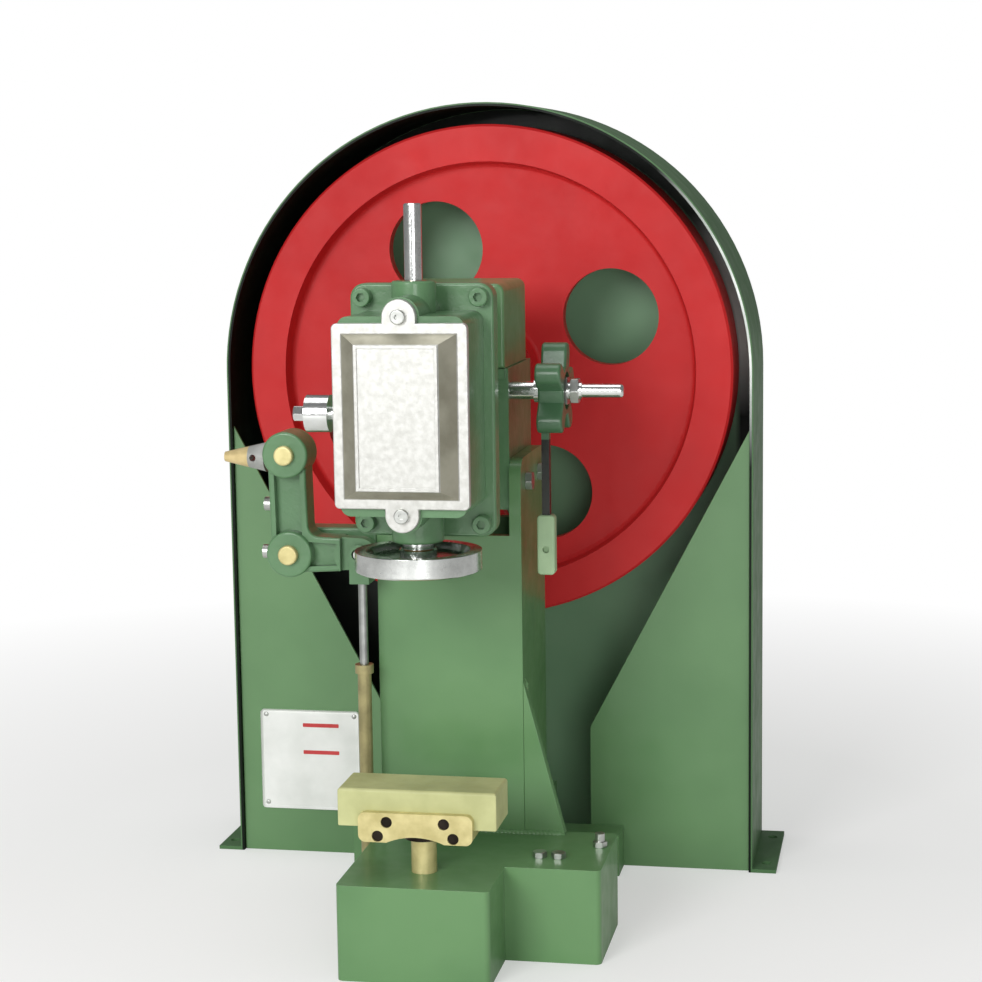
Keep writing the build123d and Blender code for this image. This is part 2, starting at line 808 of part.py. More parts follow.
def flywheel():
    web_front = wheel_front_y + web_recess
    web_back = web_front + web_thickness
    bore = shaft_bush_radius + seat_gap
    section = (
        (bore, hub_front_y),
        (hub_radius, hub_front_y),
        (hub_radius, web_front),
        (rim_inner - rim_draft, web_front),
        (rim_inner, wheel_front_y),
        (wheel_radius - rim_edge, wheel_front_y),
        (wheel_radius, wheel_front_y + rim_edge),
        (wheel_radius, wheel_back_y - rim_edge),
        (wheel_radius - rim_edge, wheel_back_y),
        (rim_inner, wheel_back_y),
        (rim_inner - rim_draft, web_back),
        (hub_radius, web_back),
        (hub_radius, wheel_back_y),
        (bore, wheel_back_y),
    )
    profile = make_face(Polyline(*section, close=True))
    roots = profile.vertices().filter_by(is_web_root)
    wheel = Pos(0, 0, axis_height) * revolve(fillet(roots, web_root), Axis.Y)
    for index in range(window_count):
        angle = radians(window_phase + index * 360 / window_count)
        window = spot(window_diameter / 2, window_circle_radius * cos(angle),
                      axis_height + window_circle_radius * sin(angle))
        wheel -= run_y(window, web_front - overrun, web_back + overrun)
    return wheel


def flywheel_bush():
    ring = spot(shaft_bush_radius, 0, axis_height) - spot(shaft_radius + running_gap, 0, axis_height)
    return run_y(ring, hub_front_y, wheel_back_y)


# Crankshaft

def collar_levels():
    return (neck_back_y + collar_gap, hub_front_y - collar_gap)


def key_block(gap):
    front, back = collar_levels()
    middle = (front + back) / 2
    key = rect(-key_width / 2 - gap, key_width / 2 + gap, axis_height + shaft_radius - key_height / 2 - gap,
               axis_height + shaft_radius + key_height / 2 + gap)
    return run_y(key, middle - key_length / 2 - gap, middle + key_length / 2 + gap)


def crankshaft():
    nut_back = wheel_back_y + end_float + end_washer_thickness + end_nut_height
    shaft = run_y(spot(shaft_radius, 0, axis_height), crank_web_back_y, nut_back + shaft_stick_out)
    shaft += run_y(spot(crank_web_radius, 0, axis_height), crank_web_front_y, crank_web_back_y)
    pin_front = retainer_back_y - retainer_thickness - pin_stick_out
    shaft += run_y(spot(crank_pin_radius, 0, pin_height), pin_front, crank_web_front_y)
    return shaft - key_block(seat_gap)


def pin_ring(radius, front, back):
    ring = spot(radius, 0, pin_height) - spot(crank_pin_radius + seat_gap, 0, pin_height)
    return run_y(ring, front, back)


def clutch_collar():
    front, back = collar_levels()
    middle = (front + back) / 2
    bore = shaft_radius + seat_gap
    groove = collar_radius - collar_groove_depth
    section = (
        (bore, front),
        (collar_radius, front),
        (collar_radius, middle - collar_groove_width / 2),
        (groove, middle - collar_groove_width / 2),
        (groove, middle + collar_groove_width / 2),
        (collar_radius, middle + collar_groove_width / 2),
        (collar_radius, back),
        (bore, back),
    )
    return turned_on_shaft(section) - key_block(seat_gap)


def shaft_end_washer():
    front = wheel_back_y + end_float
    ring = spot(end_washer_radius, 0, axis_height) - spot(shaft_radius + seat_gap, 0, axis_height)
    return run_y(ring, front, front + end_washer_thickness)


def shaft_end_nut():
    front = wheel_back_y + end_float + end_washer_thickness
    nut = hex_along_y(end_nut_across_flats, (0, axis_height), front, front + end_nut_height)
    bore = spot(shaft_radius + seat_gap, 0, axis_height)
    return nut - run_y(bore, front - overrun, front + end_nut_height + overrun)


# Ram

def ram():
    half_width = slot_half_width + yoke_end
    yoke = RectangleRounded(2 * half_width, 2 * yoke_half_height, yoke_end)
    yoke -= RectangleRounded(2 * slot_half_width, slot_height, yoke_end)
    yoke = Pos(0, pin_height) * yoke
    body = run_y(yoke, yoke_front_y, yoke_back_y)
    rod_top = axis_height + rod_top_reach
    rod = run_z(spot(rod_radius, 0, ram_axis_y), pin_height + yoke_half_height - yoke_rail / 2, rod_top)
    body += chamfer(rod.edges().group_by(Axis.Z)[-1], rod_chamfer)
    shoulder = axis_height - crank_web_radius - side_play
    stem = rect(-ram_radius, ram_radius, shoulder - yoke_rail, pin_height - yoke_half_height + yoke_rail / 2)
    body += run_y(stem, yoke_front_y, yoke_back_y)
    body += run_z(spot(ram_radius, 0, ram_axis_y), ram_low, shoulder)
    spigot = spot(ram_spigot_radius, 0, ram_axis_y)
    return body + run_z(spigot, disc_low + disc_floor_stop, ram_low)


def striker_disc():
    bore = ram_spigot_radius + seat_gap
    lip = disc_radius - disc_rim
    section = (
        (bore, disc_low),
        (disc_radius - disc_chamfer, disc_low),
        (disc_radius, disc_low + disc_chamfer),
        (disc_radius, disc_top),
        (lip, disc_top),
        (lip - disc_dish_slope, disc_floor),
        (bore, disc_floor),
    )
    return turned_on_ram(section)


def disc_nut():
    bore = ram_spigot_radius + seat_gap
    section = (
        (bore, disc_floor),
        (disc_nut_radius, disc_floor),
        (disc_nut_radius, ram_low - disc_chamfer),
        (disc_nut_radius - disc_chamfer, ram_low),
        (bore, ram_low),
    )
    return turned_on_ram(section)


# Trip bell crank

def bell_pockets():
    """Recesses that leave the arms an I section."""
    inner = bell_arm_radius - bell_flange
    tip = bell_end_radius - bell_flange
    pivot = (pivot_x, pivot_height)
    pockets = link(inner, pivot, inner, (upper_x, upper_height))
    pockets += link(inner, pivot, tip, (rod_x, pivot_height))
    return pockets - spot(bell_tongue_length + bell_flange, rod_x, pivot_height)


def side_screw_places():
    """Height and left face of each screw in the crank's left edge."""
    arm_x = (pivot_x + upper_x) / 2 - bell_arm_radius - weld_gap
    return ((axis_height - side_screw_drop, arm_x), (pivot_height, pivot_x - bell_boss_radius - weld_gap))


def bell_crank():
    pivot = (pivot_x, pivot_height)
    upper = (upper_x, upper_height)
    end = (rod_x, pivot_height)
    half = bell_arm_depth / 2
    arms = link(bell_arm_radius, pivot, bell_arm_radius, upper)
    arms += link(bell_arm_radius, pivot, bell_end_radius, end)
    inner = (pivot_x + bell_arm_radius, pivot_height + bell_arm_radius)
    arms = fillet(arms.vertices().sort_by_distance(inner)[0], bell_inner_corner)
    body = soft_ends(run_y(arms, bell_mid_y - half, bell_mid_y + half), Axis.Y, cast_edge)
    pockets = bell_pockets()
    body -= run_y(pockets, bell_mid_y - half - overrun, bell_mid_y - bell_web / 2)
    body -= run_y(pockets, bell_mid_y + bell_web / 2, bell_mid_y + half + overrun)
    for place in (pivot, upper):
        boss = run_y(spot(bell_boss_radius, *place), bell_front_y, bell_rear_y)
        body += soft_ends(boss, Axis.Y, cast_edge)
    tongue_side = Pos(*end) * Rectangle(2 * bell_tongue_length, 2 * bell_boss_radius)
    body -= run_y(tongue_side, bell_mid_y - half - overrun, bell_mid_y - bell_tongue_depth / 2)
    body -= run_y(tongue_side, bell_mid_y + bell_tongue_depth / 2, bell_mid_y + half + overrun)
    bores = spot(pivot_pin_radius + running_gap, *pivot) + spot(pivot_pin_radius + seat_gap, *upper)
    bores += spot(rod_pin_radius + seat_gap, *end)
    body -= run_y(bores, bell_front_y - overrun, bell_rear_y + overrun)
    for height, face in side_screw_places():
        hole = spot(side_screw_radius + seat_gap, bell_mid_y, height)
        body -= run_x(hole, face - overrun, face + side_screw_grip + end_float)
    stem = spot(finger_stem_radius + seat_gap, bell_mid_y, upper_height - finger_drop)
    boss_left = upper_x - bell_boss_radius
    return body - run_x(stem, boss_left - overrun, boss_left + finger_stem_length + end_float)


def headed_pin(place, back, head_face):
    """Pin along Y with its head in front."""
    pin = run_y(spot(pivot_pin_radius, *place), head_face, back)
    head = run_y(spot(pivot_head_radius, *place), head_face - pivot_head, head_face)
    return pin + fillet(head.edges().group_by(Axis.Y)[0], pivot_head / 3)


def trip_finger():
    left = upper_x - bell_boss_radius - weld_gap
    place = Pos(0, bell_mid_y, upper_height - finger_drop)
    section = (
        (left + finger_stem_length, 0),
        (left + finger_stem_length, finger_stem_radius),
        (left, finger_stem_radius),
        (left, finger_base_radius),
        (left - finger_length, finger_tip_radius),
        (left - finger_length, 0),
    )
    finger = place * revolve(make_face(Polyline(*section, close=True)), Axis.X)
    hole = spot(finger_hole_radius, left - finger_hole_inset, upper_height - finger_drop)
    return finger - run_y(hole, bell_mid_y - finger_base_radius, bell_mid_y + finger_base_radius)


def bell_crank_screws():
    screws = []
    for height, face in side_screw_places():
        head = run_x(spot(side_screw_head_radius, bell_mid_y, height), face - side_screw_head, face)
        shank = run_x(spot(side_screw_radius, bell_mid_y, height), face, face + side_screw_grip)
        screws.append(head + shank)
    return group(screws)


def crank_bracket():
    half = bracket_height / 2
    arm = rect(pivot_x, -column_width / 2, pivot_height - half, pivot_height + half)
    arm += spot(half, pivot_x, pivot_height)
    arm -= spot(pivot_pin_radius + seat_gap, pivot_x, pivot_height)
    return soft_front(run_y(arm, bracket_front_y, bracket_back_y), cast_edge)


# Pedal rod

def rod_pin():
    reach = fork_half_depth + rod_pin_head
    return run_y(spot(rod_pin_radius, rod_x, pivot_height), bell_mid_y - reach, bell_mid_y + reach)


def pedal_fork():
    front = bell_mid_y - fork_half_depth
    back = bell_mid_y + fork_half_depth
    outer = rect(front, back, fork_low, pivot_height + fork_width)
    outer -= rect(bell_mid_y - fork_half_gap, bell_mid_y + fork_half_gap, fork_floor, axis_height)
    body = run_x(outer, rod_x - fork_width / 2, rod_x + fork_width / 2)
    crown = rect(rod_x - fork_width / 2, rod_x + fork_width / 2, fork_low, pivot_height)
    body &= run_y(crown + spot(fork_width / 2, rod_x, pivot_height), front, back)
    hole = rod_pin_radius + pin_play
    slot_ends = [(rod_x + side * fork_slot_travel, pivot_height) for side in (-1, 1)]
    body -= run_y(link(hole, slot_ends[0], hole, slot_ends[1]), front - overrun, back + overrun)
    rod_hole = spot(pedal_rod_radius + seat_gap, rod_x, bell_mid_y)
    return body - run_z(rod_hole, fork_low - overrun, fork_floor + overrun)


def pedal_rod():
    return run_z(spot(pedal_rod_radius, rod_x, bell_mid_y), sleeve_top - sleeve_grip, fork_floor)


def rod_sleeve():
    place = (rod_x, bell_mid_y)
    tube = run_z(spot(sleeve_radius, *place), sleeve_low, sleeve_top)
    tube += run_z(spot(sleeve_collar_radius, *place), sleeve_top - sleeve_collar, sleeve_top)
    bore = spot(pedal_rod_radius + seat_gap, *place)
    return tube - run_z(bore, sleeve_low - overrun, sleeve_top + overrun)


# Cross stud and clutch lever

def lever_stud():
    place = (stud_y, axis_height)
    tip_left = lock_nut_right_x + stud_nut_space
    stud = run_x(spot(stud_radius, *place), stud_seat_x, tip_left)
    stud += run_x(spot(stud_shoulder_radius, *place), stud_shoulder_x - stud_shoulder, stud_shoulder_x)
    tip = run_x(spot(stud_tip_radius, *place), tip_left, tip_left + stud_tip)
    return stud + fillet(tip.edges().group_by(Axis.X)[-1], stud_tip_radius / 2)


def clutch_lever():
    axis = (stud_y, axis_height)
    hub = spot(lever_hub_radius, *axis)
    for angle in lever_lobe_angles:
        back = stud_y + lever_lobe_reach * cos(radians(angle))
        up = axis_height + lever_lobe_reach * sin(radians(angle))
        hub += link(lever_lobe_radius, axis, lever_lobe_radius, (back, up))
    half = lever_arm_width / 2
    arm = rect(stud_y - half, stud_y + half, axis_height - lever_arm_reach, axis_height)
    body = soft_ends(run_x(hub, lever_left_x, lobe_right_x), Axis.X, cast_edge)
    body += run_x(arm, lever_left_x, lever_left_x + lever_arm_thickness)
    body -= run_x(spot(lever_seat_radius, *axis), lever_right_x, lobe_right_x + overrun)
    bore = spot(stud_radius + running_gap, *axis)
    return body - run_x(bore, lever_left_x - overrun, lever_right_x + overrun)


def lever_grip():
    middle = lever_left_x + lever_arm_thickness / 2
    half = grip_width / 2
    low = axis_height - grip_low_drop
    outline = rounded(middle - half, middle + half, low, axis_height - grip_top_drop, grip_corner)
    front = stud_y - grip_depth / 2
    body = soft_ends(run_y(outline, front, front + grip_depth), Axis.Y, grip_edge)
    hole = spot(grip_hole_radius, middle, axis_height - grip_hole_drop)
    body -= run_y(hole, front - overrun, front + grip_hole_depth)
    arm_half = lever_arm_width / 2 + seat_gap
    slot = rect(stud_y - arm_half, stud_y + arm_half, axis_height - lever_arm_reach - seat_gap, axis_height)
    return body - run_x(slot, lever_left_x - seat_gap, lever_left_x + lever_arm_thickness + seat_gap)


def stud_washer():
    ring = spot(stud_washer_radius, stud_y, axis_height) - spot(stud_radius + seat_gap, stud_y, axis_height)
    return run_x(ring, washer_left_x, washer_right_x)


def stud_nuts():
    place = (stud_y, axis_height)
    bore = run_x(spot(stud_radius + seat_gap, *place), washer_left_x, lock_nut_right_x + overrun)
    nut = hex_along_x(stud_nut_across_flats, place, washer_right_x, nut_right_x)
    lock_nut = hex_along_x(stud_lock_nut_across_flats, place, lock_nut_left_x, lock_nut_right_x)
    return group((nut - bore, lock_nut - bore))


# Anvil

def holder_screw_places():
    top = anvil_low + holder_screw_top_rise
    low = holder_low - holder_wall_drop + holder_floor + holder_screw_low_rise
    return (
        (-holder_screw_top_half_pitch, top),
        (holder_screw_top_half_pitch, top),
        (-holder_screw_low_half_pitch, low),
        (holder_screw_low_half_pitch, low),
    )


def anvil_block():
    half = anvil_width / 2
    block = run_y(rect(-half, half, anvil_low, anvil_top), anvil_front_y, anvil_back_y)
    block = chamfer(block.edges().group_by(Axis.Z)[-1], anvil_edge)
    for place in holder_screw_places():
        if place[1] > anvil_low:
            block -= run_y(spot(holder_screw_radius + seat_gap, *place), anvil_front_y - overrun,
                           anvil_front_y + holder_screw_grip)
    return block


def anvil_holder():
    half = holder_width / 2
    wall_low = holder_low - holder_wall_drop + holder_floor
    wall = rounded(-half, half, wall_low, anvil_low + holder_wall_rise, holder_corner)
    wall -= spot(holder_notch_radius, 0, wall_low + holder_notch_rise - holder_notch_radius)
    for place in holder_screw_places():
        wall -= spot(holder_screw_radius + seat_gap, *place)
    body = run_y(wall, holder_front_y, anvil_front_y)
    body += run_z(rect(-half, half, anvil_front_y, anvil_back_y), holder_low, anvil_low)
    for place in holder_screw_places():
        sink = spot(holder_screw_head_radius + seat_gap, *place)
        body -= run_y(sink, holder_front_y - overrun, holder_front_y + holder_screw_sink + holder_screw_head)
    return body


def holder_screws():
    face = holder_front_y + holder_screw_sink + holder_screw_head
    screws = []
    for place in holder_screw_places():
        grip = holder_screw_grip if place[1] > anvil_low else anvil_front_y - face
        head = run_y(spot(holder_screw_head_radius, *place), face - holder_screw_head, face)
        shank_end = min(face + grip, anvil_front_y + holder_screw_grip - end_float)
        screws.append(head + run_y(spot(holder_screw_radius, *place), face, shank_end))
    return group(screws)


def anvil_post():
    return run_z(spot(post_radius, 0, ram_axis_y), bed_height / 2, holder_low)


def post_nut():
    ring = spot(post_nut_radius, 0, ram_axis_y) - spot(post_radius + seat_gap, 0, ram_axis_y)
    return run_z(ring, holder_low - post_nut_height, holder_low)


pieces = {
    "guard_arch": guard_arch(),
    "back_panel": back_panel(),
    "front_panel_left": front_panel(-1),
    "front_panel_right": front_panel(1),
    "bed": bed(),
    "base_bolts": base_bolts(),
    "column_front_plate": column_plate_across(column_front_y),
    "column_back_plate": column_plate_across(column_back_y - column_plate),
    "column_cheek_left": column_cheek(-1),
    "column_cheek_right": column_cheek(1),
    "side_gusset": side_gusset(),
    "neck": neck(),
    "neck_bush_front": neck_bush(neck_front_y),
    "neck_bush_rear": neck_bush(neck_back_y - shaft_bush_length),
    "fork_bolts": fork_bolts(),
    "clutch_cover": clutch_cover(),
    "head_housing": head_housing(),
    "flange_screws": flange_screws(),
    "front_cover": front_cover(),
    "cover_screws": cover_screws(),
    "guide_bush_top": guide_bush(rod_radius, cavity_top_reach, top_boss_reach),
    "guide_bush_bottom": guide_bush(ram_radius, -low_boss_reach, -cavity_low_reach),
    "stroke_lock_screw": stroke_lock_screw(),
    "crank_bracket": crank_bracket(),
    "pivot_pin": headed_pin((pivot_x, pivot_height), bracket_back_y, bell_front_y - end_float),
    "lever_stud": lever_stud(),
    "stud_washer": stud_washer(),
    "stud_nuts": stud_nuts(),
    "anvil_block": anvil_block(),
    "anvil_holder": anvil_holder(),
    "holder_screws": holder_screws(),
    "anvil_post": anvil_post(),
    "post_nut": post_nut(),
    "flywheel": flywheel(),
    "flywheel_bush": flywheel_bush(),
    "crankshaft": crankshaft(),
    "crank_roller": pin_ring(roller_radius, yoke_front_y, yoke_back_y),
    "roller_retainer": pin_ring(roller_radius, retainer_back_y - retainer_thickness, retainer_back_y),
    "clutch_collar": clutch_collar(),
    "clutch_key": key_block(0),
    "shaft_end_washer": shaft_end_washer(),
    "shaft_end_nut": shaft_end_nut(),
    "ram": ram(),
    "striker_disc": striker_disc(),
    "disc_nut": disc_nut(),
    "bell_crank": bell_crank(),
    "upper_pin": headed_pin((upper_x, upper_height), bell_rear_y, bell_front_y),
    "trip_finger": trip_finger(),
    "bell_crank_screws": bell_crank_screws(),
    "rod_pin": rod_pin(),
    "pedal_fork": pedal_fork(),
    "pedal_rod": pedal_rod(),
    "rod_sleeve": rod_sleeve(),
    "clutch_lever": clutch_lever(),
    "lever_grip": lever_grip(),
}

for name, shape in pieces.items():
    export_step(shape, f"parts/{name}.step")
print(len(pieces), "pieces written")
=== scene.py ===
# %% [markdown]
# # Dressing a shoe punching machine
# The machine comes in as a finished set of solids: a red flywheel in a green arched guard, a welded column
# and a cast head with a ram. Here each piece gets its surface. Solids with hard machine edges are copied
# and given the small rounded edges of castings and folded sheet. The weld seams and the plain plate on the
# left panel are modelled as new pieces.

# %% Load the machine
import bpy
import json
import math
from collections import namedtuple
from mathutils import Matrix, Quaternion, Vector

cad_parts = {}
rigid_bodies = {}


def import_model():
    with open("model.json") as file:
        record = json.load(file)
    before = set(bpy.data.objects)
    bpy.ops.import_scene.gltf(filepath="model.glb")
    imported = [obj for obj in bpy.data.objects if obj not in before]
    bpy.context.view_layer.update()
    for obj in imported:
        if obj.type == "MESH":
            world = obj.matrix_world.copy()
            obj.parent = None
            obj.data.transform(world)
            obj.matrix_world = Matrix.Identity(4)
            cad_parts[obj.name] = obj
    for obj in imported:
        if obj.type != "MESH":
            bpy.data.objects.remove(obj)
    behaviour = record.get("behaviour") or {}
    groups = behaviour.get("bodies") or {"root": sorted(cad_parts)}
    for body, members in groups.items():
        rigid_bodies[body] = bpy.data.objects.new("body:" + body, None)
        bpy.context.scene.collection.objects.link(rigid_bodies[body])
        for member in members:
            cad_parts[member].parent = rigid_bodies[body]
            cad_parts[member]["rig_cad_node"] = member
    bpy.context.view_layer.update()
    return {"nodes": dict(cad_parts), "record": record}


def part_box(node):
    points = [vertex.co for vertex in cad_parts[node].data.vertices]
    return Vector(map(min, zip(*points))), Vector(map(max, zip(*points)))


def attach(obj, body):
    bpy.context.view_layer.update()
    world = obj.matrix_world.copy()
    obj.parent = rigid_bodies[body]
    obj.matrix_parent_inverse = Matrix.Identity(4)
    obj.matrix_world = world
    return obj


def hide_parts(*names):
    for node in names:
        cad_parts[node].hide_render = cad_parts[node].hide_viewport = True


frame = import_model()
nodes = frame["nodes"]
members_of_body = frame["record"]["behaviour"]["bodies"]
body_of_node = {node: body for body, members in members_of_body.items() for node in members}

# %% [markdown]
# ## Camera
# The machine is seen from a little above and from the right, from about two and a half metres. A long lens
# at that distance keeps the wheel nearly round. The camera leans by less than a degree, and that small roll
# brings the guard's upright edges into place.

# %% Camera at the photograph's angle
view_azimuth = math.radians(11.0)
view_pitch = math.radians(8.0)
view_roll = math.radians(0.8)
view_distance = 2.5
view_target = Vector((-0.001, -0.040, 0.416))
frame_pixels = 982
focal_pixels = 2240
sensor_width = 36.0

outward = Vector((
    math.sin(view_azimuth) * math.cos(view_pitch),
    -math.cos(view_azimuth) * math.cos(view_pitch),
    math.sin(view_pitch),
))
bpy.ops.object.select_all(action="DESELECT")
level = outward.to_track_quat("Z", "Y")
rolled = level @ Quaternion((0, 0, 1), -view_roll)
bpy.ops.object.camera_add(location=view_target + outward * view_distance, rotation=rolled.to_euler())
camera = bpy.context.object
camera.data.sensor_width = sensor_width
camera.data.lens = sensor_width * focal_pixels / frame_pixels
bpy.context.scene.camera = camera
bpy.context.scene.view_settings.view_transform = "Standard"
print("lens in millimetres:", round(camera.data.lens, 1))

# %% [markdown]
# ## Floor and light
# The floor is white and flat, and it fades into plain white away from the machine, so that there is no
# horizon. That glow is for the eye alone: in reflections the floor stays a plain floor, or every side that
# is seen at a flat angle would turn pale. A wide soft lamp stands in front on the left, where the
# photograph's light comes from. A weaker one, low on the right, looks into the guard, and a third hangs
# above.

# %% Colours as they are read from a screen
def srgb(red, green, blue):
    """Screen values from 0 to 255 as the linear colour that a shader takes."""
    def linear(value):
        share = value / 255
        return share / 12.92 if share <= 0.04045 else ((share + 0.055) / 1.055) ** 2.4
    return (linear(red), linear(green), linear(blue), 1.0)


print("half of the screen's white, as a share of light:", round(srgb(128, 128, 128)[0], 3))

# %% Floor
floor_half = 12.0

bpy.ops.mesh.primitive_plane_add(size=2 * floor_half)
floor = bpy.context.object
floor.name = "floor"
print("floor width:", 2 * floor_half)

# %% White paint for the floor, which fades into the background
fade_start = 0.55
fade_end = 1.6
least_glow = 0.4

floor_material = bpy.data.materials.new("floor_white")
floor_material.use_nodes = True
tree = floor_material.node_tree
tree.nodes.clear()
coords = tree.nodes.new("ShaderNodeTexCoord")
distance = tree.nodes.new("ShaderNodeVectorMath")
distance.operation = "LENGTH"
fade = tree.nodes.new("ShaderNodeMapRange")
fade.inputs["From Min"].default_value = fade_start
fade.inputs["From Max"].default_value = fade_end
fade.inputs["To Min"].default_value = least_glow
seen = tree.nodes.new("ShaderNodeLightPath")
only_seen = tree.nodes.new("ShaderNodeMath")
only_seen.operation = "MULTIPLY"
matt = tree.nodes.new("ShaderNodeBsdfDiffuse")
matt.inputs["Color"].default_value = srgb(246, 246, 244)
glow = tree.nodes.new("ShaderNodeEmission")
glow.inputs["Strength"].default_value = 1.0
mix = tree.nodes.new("ShaderNodeMixShader")
output = tree.nodes.new("ShaderNodeOutputMaterial")
tree.links.new(coords.outputs["Object"], distance.inputs[0])
tree.links.new(distance.outputs["Value"], fade.inputs["Value"])
tree.links.new(fade.outputs["Result"], only_seen.inputs[0])
tree.links.new(seen.outputs["Is Camera Ray"], only_seen.inputs[1])
tree.links.new(only_seen.outputs["Value"], mix.inputs["Fac"])
tree.links.new(matt.outputs["BSDF"], mix.inputs[1])
tree.links.new(glow.outputs["Emission"], mix.inputs[2])
tree.links.new(mix.outputs["Shader"], output.inputs["Surface"])
floor.data.materials.append(floor_material)
print("floor fades from", fade_start, "to", fade_end, "metres")

# %% World: white to the eye, softer as a light and in reflections
ambient_strength = 0.42
mirrored_strength = 0.2

world = bpy.data.worlds.new("studio")
bpy.context.scene.world = world
world.use_nodes = True
sky = world.node_tree
sky.nodes.clear()
path = sky.nodes.new("ShaderNodeLightPath")
unseen = sky.nodes.new("ShaderNodeMapRange")
unseen.inputs["To Min"].default_value = ambient_strength
unseen.inputs["To Max"].default_value = mirrored_strength
strength = sky.nodes.new("ShaderNodeMapRange")
strength.inputs["To Max"].default_value = 1.0
backdrop = sky.nodes.new("ShaderNodeBackground")
backdrop.inputs["Color"].default_value = (1, 1, 1, 1)
world_output = sky.nodes.new("ShaderNodeOutputWorld")
sky.links.new(path.outputs["Is Glossy Ray"], unseen.inputs["Value"])
sky.links.new(path.outputs["Is Camera Ray"], strength.inputs["Value"])
sky.links.new(unseen.outputs["Result"], strength.inputs["To Min"])
sky.links.new(strength.outputs["Result"], backdrop.inputs["Strength"])
sky.links.new(backdrop.outputs["Background"], world_output.inputs["Surface"])
print("ambient light:", ambient_strength, "and in reflections:", mirrored_strength)


# %% Lamps
machine_middle = Vector((0.0, -0.15, 0.45))


def soft_lamp(name, place, width, watts):
    """A square area lamp that points at the middle of the machine."""
    bpy.ops.object.select_all(action="DESELECT")
    bpy.ops.object.light_add(type="AREA", location=place)
    lamp = bpy.context.object
    lamp.name = name
    lamp.data.size = width
    lamp.data.energy = watts
    lamp.rotation_euler = (machine_middle - Vector(place)).to_track_quat("-Z", "Y").to_euler()
    print(name, "watts:", watts)


soft_lamp("key_lamp", place=(-1.1, -3.8, 1.7), width=1.5, watts=84)
soft_lamp("fill_lamp", place=(1.1, -3.4, 0.7), width=1.0, watts=22)
soft_lamp("top_lamp", place=(-0.3, -0.2, 2.6), width=1.3, watts=12)

# %% [markdown]
# ## Enamel
# Enamel is a colour under a clear gloss. What makes it look real is small: the colour drifts a little, the
# gloss is uneven, and the skin is not quite flat. On folded sheet that skin is a fine orange peel. On a
# casting the sand shows through as soft lumps. A painted picture could show all this, but it would need an
# unwrapped map for each piece. Noise in the piece's own space needs none, so both paints are one recipe of
# noises with other numbers.

# %% A shader with a grain
noise_low, noise_high = 0.3, 0.7
blend_low, blend_high = 0.35, 0.65


def finish(name):
    """A new material with its nodes and its shader."""
    material = bpy.data.materials.new(name)
    material.use_nodes = True
    shader = material.node_tree.nodes["Principled BSDF"]
    return material, material.node_tree, shader


def cloud(tree, scale, detail=3.0):
    """Noise over the piece, with features of about one over scale metres."""
    place = tree.nodes.new("ShaderNodeTexCoord")
    noise = tree.nodes.new("ShaderNodeTexNoise")
    noise.inputs["Scale"].default_value = scale
    noise.inputs["Detail"].default_value = detail
    tree.links.new(place.outputs["Object"], noise.inputs["Vector"])
    return noise.outputs["Fac"]


def spread(tree, value, low, high):
    """The middle of a noise stretched between two values."""
    ramp = tree.nodes.new("ShaderNodeMapRange")
    ramp.inputs["From Min"].default_value = noise_low
    ramp.inputs["From Max"].default_value = noise_high
    ramp.inputs["To Min"].default_value = low
    ramp.inputs["To Max"].default_value = high
    tree.links.new(value, ramp.inputs["Value"])
    return ramp.outputs["Result"]


def two_colours(tree, value, first, second):
    """A colour that drifts between two, led by a noise."""
    ramp = tree.nodes.new("ShaderNodeValToRGB")
    ramp.color_ramp.elements[0].position = blend_low
    ramp.color_ramp.elements[1].position = blend_high
    ramp.color_ramp.elements[0].color = first
    ramp.color_ramp.elements[1].color = second
    tree.links.new(value, ramp.inputs["Fac"])
    return ramp.outputs["Color"]


def relief(tree, shader, heights):
    """Bumps laid over each other, from pairs of a noise and its depth in metres."""
    normal = None
    for value, depth in heights:
        bump = tree.nodes.new("ShaderNodeBump")
        bump.inputs["Distance"].default_value = depth
        tree.links.new(value, bump.inputs["Height"])
        if normal is not None:
            tree.links.new(normal, bump.inputs["Normal"])
        normal = bump.outputs["Normal"]
    tree.links.new(normal, shader.inputs["Normal"])


print("noise is used between", noise_low, "and", noise_high)

# %% Recipe for enamel
drift_scale = 7.0
gloss_scale = 40.0
gloss_spread = 0.14
lump_detail = 4.0
peel_scale = 700.0
peel_detail = 2.0
peel_depth = 0.00003
coat_roughness = 0.12


def enamel(name, deep, fair, rough, lump_size, lump_depth, coat=0.25):
    """Paint whose colour drifts from deep to fair, over lumps with a size and a depth in metres."""
    material, tree, shader = finish(name)
    colour = two_colours(tree, cloud(tree, drift_scale), deep, fair)
    gloss = spread(tree, cloud(tree, gloss_scale), rough, rough + gloss_spread)
    peel = cloud(tree, peel_scale, peel_detail)
    lumps = cloud(tree, 1 / lump_size, lump_detail)
    tree.links.new(colour, shader.inputs["Base Color"])
    tree.links.new(gloss, shader.inputs["Roughness"])
    relief(tree, shader, ((lumps, lump_depth), (peel, peel_depth)))
    shader.inputs["Coat Weight"].default_value = coat
    shader.inputs["Coat Roughness"].default_value = coat_roughness
    return material


print("orange peel in metres:", peel_depth)

# %% Enamel on sheet, on plate and on castings
sheet_skin = {"lump_size": 0.05, "lump_depth": 0.0004}
plate_skin = {"lump_size": 0.03, "lump_depth": 0.0004}
cast_skin = {"lump_size": 0.006, "lump_depth": 0.0005}
wheel_skin = {"lump_size": 0.012, "lump_depth": 0.0003}
thin_coat = 0.04
panel_coat = 0.1
dull_shine = 0.25

